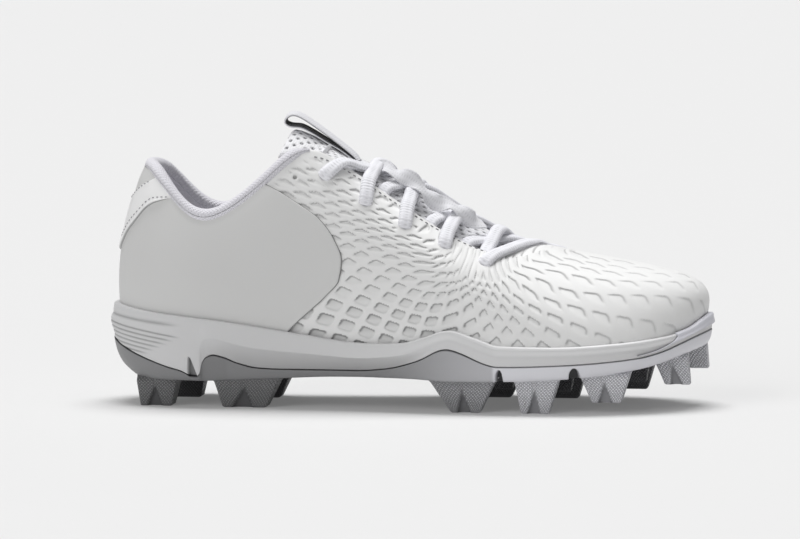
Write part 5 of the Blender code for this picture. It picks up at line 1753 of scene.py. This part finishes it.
def stud_skin(side, stud, edge_line):
    """Points, cloth coordinates, knurl mask and groove shade of one stud: a grooved pyramid with rounded edges."""
    shares = np.linspace(0.0, 1.0, STUD_LEVELS)
    u, v = stud_section().T
    root = float(level(PLATE, stud["root_x"])) + STUD_SINK
    height = root - stud["tip_height"]
    flare = 1 + STUD_FLARE * ramp(0.74, 1.0, shares) ** 2
    length = (stud["tip_length"] + (stud["root_length"] - stud["tip_length"]) * shares) * flare
    width = (stud["tip_width"] + (stud["root_width"] - stud["tip_width"]) * shares) * flare
    middle_x = stud["tip_x"] + (stud["root_x"] - stud["tip_x"]) * shares
    middle_y = stud["y"] + side * STUD_SPLAY * (1 - shares)
    x = middle_x[:, None] + u * length[:, None] / 2
    y = middle_y[:, None] + v * width[:, None] / 2
    y = within((x, y), edge_line, ramp(0.72, 0.95, shares)[:, None])
    lean = level(PLATE, np.clip(x, -139, 139)) - float(level(PLATE, stud["root_x"]))
    z = (stud["tip_height"] + height * shares)[:, None] + lean * shares[:, None]
    groove = np.zeros(x.shape)
    if side:
        half = 0.24 * stud["tip_length"] * (1 - shares / GROOVE_TOP)[:, None]
        middle = middle_x[:, None] - GROOVE_OFFSET * stud["tip_length"]
        near = ramp(0.3, -0.3, np.abs(x - middle) - half)
        groove = near * (v * side > 0.99) * (shares < GROOVE_TOP)[:, None]
        y = y - side * GROOVE_DEPTH * groove * ramp(GROOVE_TOP, 0.25, shares)[:, None] ** 0.5
    points = np.stack([x, y, z], axis=-1)
    run = run_along(points[STUD_LEVELS // 2])
    cloth = cloth_grid(run, z)
    seam = ramp(0.0, 1.0, np.minimum(run, run[-1] - run))
    band = ramp(0.02, 0.06, shares) * ramp(0.92, 0.8, shares)
    knurled = (1 - groove) * seam * band[:, None]
    tip = points[:1].mean(axis=1, keepdims=True)
    caps = [tip + (points[:1] - tip) * k for k in (0.0, 0.5, 0.93)]
    points[0, :, 2] += STUD_TIP_BEVEL
    points = np.concatenate(caps + [points])
    cloth, knurled, groove = (np.concatenate([item[:1] * keep] * 3 + [item])
                              for item, keep in ((cloth, 1), (knurled, 0), (groove, 0)))
    return points, cloth, knurled, groove


class CLEAT_OT_outsole(bpy.types.Operator):
    """Stiff outsole: rim, plate and knurled studs with their grooves"""
    bl_idname = "cleat.outsole"
    bl_label = "Outsole"

    def execute(self, context):
        sizes, colours = settings(context)
        # The plate's base is the painted-shade copy, and the front mask brings in the outsole's own colour towards
        # the forefoot; painted shade also on the rim's top edge, in its cuts and under the plate
        plate = finish_material("outsole_plate", colours.outsole_painted_shade, 0.5, grain=(1500.0, 0.02, 0.04),
                                tints=(("front", colours.outsole_front), ("crease", RIM_SHADE)))
        line = Outline(sole_places())
        rim = line.side(1.0, OUTSOLE_PROUD)
        height = rim[:, 2] - GAP
        drawn = edge("plate_in", line.x)
        side = edge("side_in", line.x)
        rings = [line.inset(rim, inward, height - down) for inward, down, _ in RIM_EDGE]
        shades = [shade for _, _, shade in RIM_EDGE] + [0.0] * len(RIM_SHARES)
        drawn = drawn * (1.5 - 0.8 * ramp(-131.0, -120.0, line.x) + 0.5 * ramp(20.0, 60.0, line.x))
        for share in RIM_SHARES:
            draw = side * share + (drawn - side) * (1 - np.sqrt(1 - min(share, 0.999) ** 2.6))
            rings.append(line.inset(rim, draw, height + (line.plate - height) * share))
        under = rings[-1]
        partner = mirror_places(under)
        # The underside: dished, with painted shade deepening towards its middle
        for share in UNDER_SHARES:
            ring = under + (partner - under) * share
            ring[:, 2] += UNDER_DISH * np.sin(np.pi * share)
            rings.append(ring)
            shades.append(min(1.0, share * 6))
        points = np.array(rings)
        x, z = points[..., 0], points[..., 2]
        # Painted shade fades out from the arch towards the forefoot, and is gone past the front edge
        front = 0.5 * ramp(*SHADE_FADE_SPAN, x) + 0.5 * ramp(*FRONT_EDGE, x)
        # Painted shadow line on the rim's top edge, fainter towards the front
        shade = np.array(shades)[:, None] * np.ones(x.shape)
        shade[:len(RIM_EDGE)] *= 1 - 0.4 * ramp(*FAINT_RIM_SPAN, x[:len(RIM_EDGE)])
        # The rim's cuts: pressed in and filled with painted shade
        for middle, half, tall in RIM_CUTS:
            rise = np.clip((z - line.plate) / tall, 0.0, 1.0)
            cut = ramp(0.35, -0.35, np.abs(x - middle) - half * np.sqrt(1 - rise ** 2)) * (rise < 1)
            points = points - line.out * (RIM_CUT_DEPTH * cut)[..., None]
            shade = np.maximum(shade, cut)
        patches = Patches()
        patches.add(points, False, True, front=front, crease=shade)
        dress("outsole_plate", patches, plate, ("outsole",), weld=True)
        # The studs' base is a darker painted-shade copy of the outsole's own colour, and the front mask brings the
        # own colour in
        rubber = finish_material("stud_rubber", shaded(colours.outsole_painted_shade, 0.9), 0.5, grain=(1500.0, 0.02, 0.04),
                                 tints=(("front", colours.outsole_front), ("crease", STUD_SHADE)),
                                 knurl=(sizes.knurl_pitch / MM, 0.6))
        patches = Patches()
        for side_of, stud in stud_rows():
            points, cloth, knurled, groove = stud_skin(side_of, stud, under)
            # Inner and middle studs short of the toe are painted near-black as shade; the others get painted shade in
            # their grooves
            dark = side_of >= 0 and stud["root_x"] < LAST_SHADED_STUD
            shade = np.full(groove.shape, 0.9) if dark else 0.55 * groove
            front = 1.0 if stud["root_x"] > FRONT_EDGE[0] else 0.5 * ramp(*SHADE_FADE_SPAN, points[..., 0])
            patches.add(points, False, True, cloth=cloth, knurled=knurled, crease=shade, front=front)
        dress("outsole_studs", patches, rubber, ("outsole",), weld=True)
        return {"FINISHED"}


INSOLE_COLUMNS = 320
# Rings from the middle line out, as (share of the way across, rise)
INSOLE_RINGS = ((0.5, 0.0), (0.3, 0.0), (0.15, 0.1), (0.06, 0.5), (0.02, 1.2), (0.0, 1.2), (0.0, -3.0))


class CLEAT_OT_insole(bpy.types.Operator):
    """Sockliner on the cup's floor, dished towards its edge"""
    bl_idname = "cleat.insole"
    bl_label = "Insole"

    def execute(self, context):
        _, colours = settings(context)
        cloth = finish_material("sockliner_knit", colours.insole, 0.92, sheen=0.2,
                                yarn=(2.8, 0.8, 0.2, shaded(colours.insole, 0.75)))
        at = np.linspace(0.0, 1.0, INSOLE_COLUMNS, endpoint=False)
        ring = shell(at, np.zeros(len(at)), np.full(len(at), -(UPPER_WALL + 2 * GAP)))
        partner = ring[(-np.arange(len(ring))) % len(ring)]
        floor = level(FLOOR, last(at, 0.0)[:, 0])
        rings = []
        for share, rise in INSOLE_RINGS:
            line = ring + (partner - ring) * share
            line[:, 2] = floor + INSOLE_THICKNESS + rise
            rings.append(line)
        points = np.array(rings)
        patches = Patches()
        patches.add(points, False, True, cloth=points)
        dress("sockliner", patches, cloth, ("insole",), weld=True)
        return {"FINISHED"}


# Stage

VIEW_TURN = math.radians(7.0)
VIEW_RISE = math.radians(4.6)
VIEW_DISTANCE = 2.5
VIEW_WIDTH = 0.366
VIEW_RIGHT = -0.00453
VIEW_UP = 0.06111
SENSOR_WIDTH = 36.0
FLOOR_CORNERS = ((-8, -6, 0), (8, -6, 0), (8, 14, 0), (-8, 14, 0))
FLOOR_GLOW = 0.13
WHITE = (1.0, 1.0, 1.0, 1.0)
ROOM_LIGHT = 0.2


def sun_light(name, place, width, strength):
    """An even soft light that shines from a place onto the shoe."""
    lamp = bpy.data.lights.new(name, "SUN")
    lamp.energy = strength
    lamp.angle = math.radians(width)
    made = bpy.data.objects.new(name, lamp)
    made.location = place
    made.rotation_euler = (-Vector(place)).to_track_quat("-Z", "Y").to_euler()
    bpy.context.scene.collection.objects.link(made)


class CLEAT_OT_stage(bpy.types.Operator):
    """Pale floor, soft lights and the camera"""
    bl_idname = "cleat.stage"
    bl_label = "Stage"

    def execute(self, context):
        _, colours = settings(context)
        scene = context.scene
        paper = finish_material("floor_paper", colours.floor, 0.9, grain=(400.0, 0.05, 0.004), specular=0.2)
        shader = paper.node_tree.nodes["Principled BSDF"]
        shader.inputs["Emission Color"].default_value = WHITE
        shader.inputs["Emission Strength"].default_value = FLOOR_GLOW
        mesh = bpy.data.meshes.new("floor")
        mesh.from_pydata(FLOOR_CORNERS, [], [(0, 1, 2, 3)])
        mesh.materials.append(paper)
        floor = bpy.data.objects.new("floor", mesh)
        scene.collection.objects.link(floor)
        world = bpy.data.worlds.new("studio")
        world.use_nodes = True
        room = world.node_tree.nodes["Background"]
        room.inputs["Color"].default_value = WHITE
        room.inputs["Strength"].default_value = ROOM_LIGHT
        scene.world = world
        sun_light("overhead", (0.0, 0.42, 2.0), 36.0, 2.95)
        sun_light("front_left", (-1.0, -1.5, 0.9), 40.0, 0.88)
        scene.view_settings.view_transform = "Standard"
        lens = bpy.data.cameras.new("camera")
        lens.sensor_width = SENSOR_WIDTH
        lens.lens = SENSOR_WIDTH * VIEW_DISTANCE / VIEW_WIDTH
        lens.clip_end = 50.0
        camera = bpy.data.objects.new("camera", lens)
        right = Vector((math.cos(VIEW_TURN), math.sin(VIEW_TURN), 0))
        back = Vector((math.sin(VIEW_TURN) * math.cos(VIEW_RISE), -math.cos(VIEW_TURN) * math.cos(VIEW_RISE),
                       math.sin(VIEW_RISE)))
        up = back.cross(right)
        target = right * VIEW_RIGHT + up * VIEW_UP
        camera.location = target + back * VIEW_DISTANCE
        camera.rotation_euler = (-back).to_track_quat("-Z", "Y").to_euler()
        scene.collection.objects.link(camera)
        scene.camera = camera
        return {"FINISHED"}


OPERATORS = (CLEAT_OT_upper, CLEAT_OT_lining, CLEAT_OT_quarter, CLEAT_OT_heel_band, CLEAT_OT_collar,
             CLEAT_OT_tongue, CLEAT_OT_pull_loop, CLEAT_OT_laces, CLEAT_OT_midsole, CLEAT_OT_toe_bumper,
             CLEAT_OT_outsole, CLEAT_OT_insole, CLEAT_OT_stage)


class CLEAT_PT_panel(bpy.types.Panel):
    """Lists the shoe's pieces with their sizes and colours"""
    bl_idname = "CLEAT_PT_panel"
    bl_label = "Softball Cleat"
    bl_space_type = "VIEW_3D"
    bl_region_type = "UI"
    bl_category = "Cleat"

    def draw(self, context):
        for operator in OPERATORS:
            self.layout.operator(operator.bl_idname)
        for group in settings(context):
            box = self.layout.box()
            for key in group.__annotations__:
                box.prop(group, key)


CLASSES = (CleatSizes, CleatColours) + OPERATORS + (CLEAT_PT_panel,)


def register():
    """Adds the classes and the scene's settings."""
    for item in CLASSES:
        bpy.utils.register_class(item)
    bpy.types.Scene.cleat_sizes = PointerProperty(type=CleatSizes)
    bpy.types.Scene.cleat_colours = PointerProperty(type=CleatColours)


def unregister():
    """Takes the settings and the classes away again."""
    del bpy.types.Scene.cleat_colours
    del bpy.types.Scene.cleat_sizes
    for item in reversed(CLASSES):
        bpy.utils.unregister_class(item)


def main():
    """Builds every piece in order."""
    register()
    for operator in OPERATORS:
        group, action = operator.bl_idname.split(".")
        getattr(getattr(bpy.ops, group), action)()


if __name__ == "__main__":
    main()
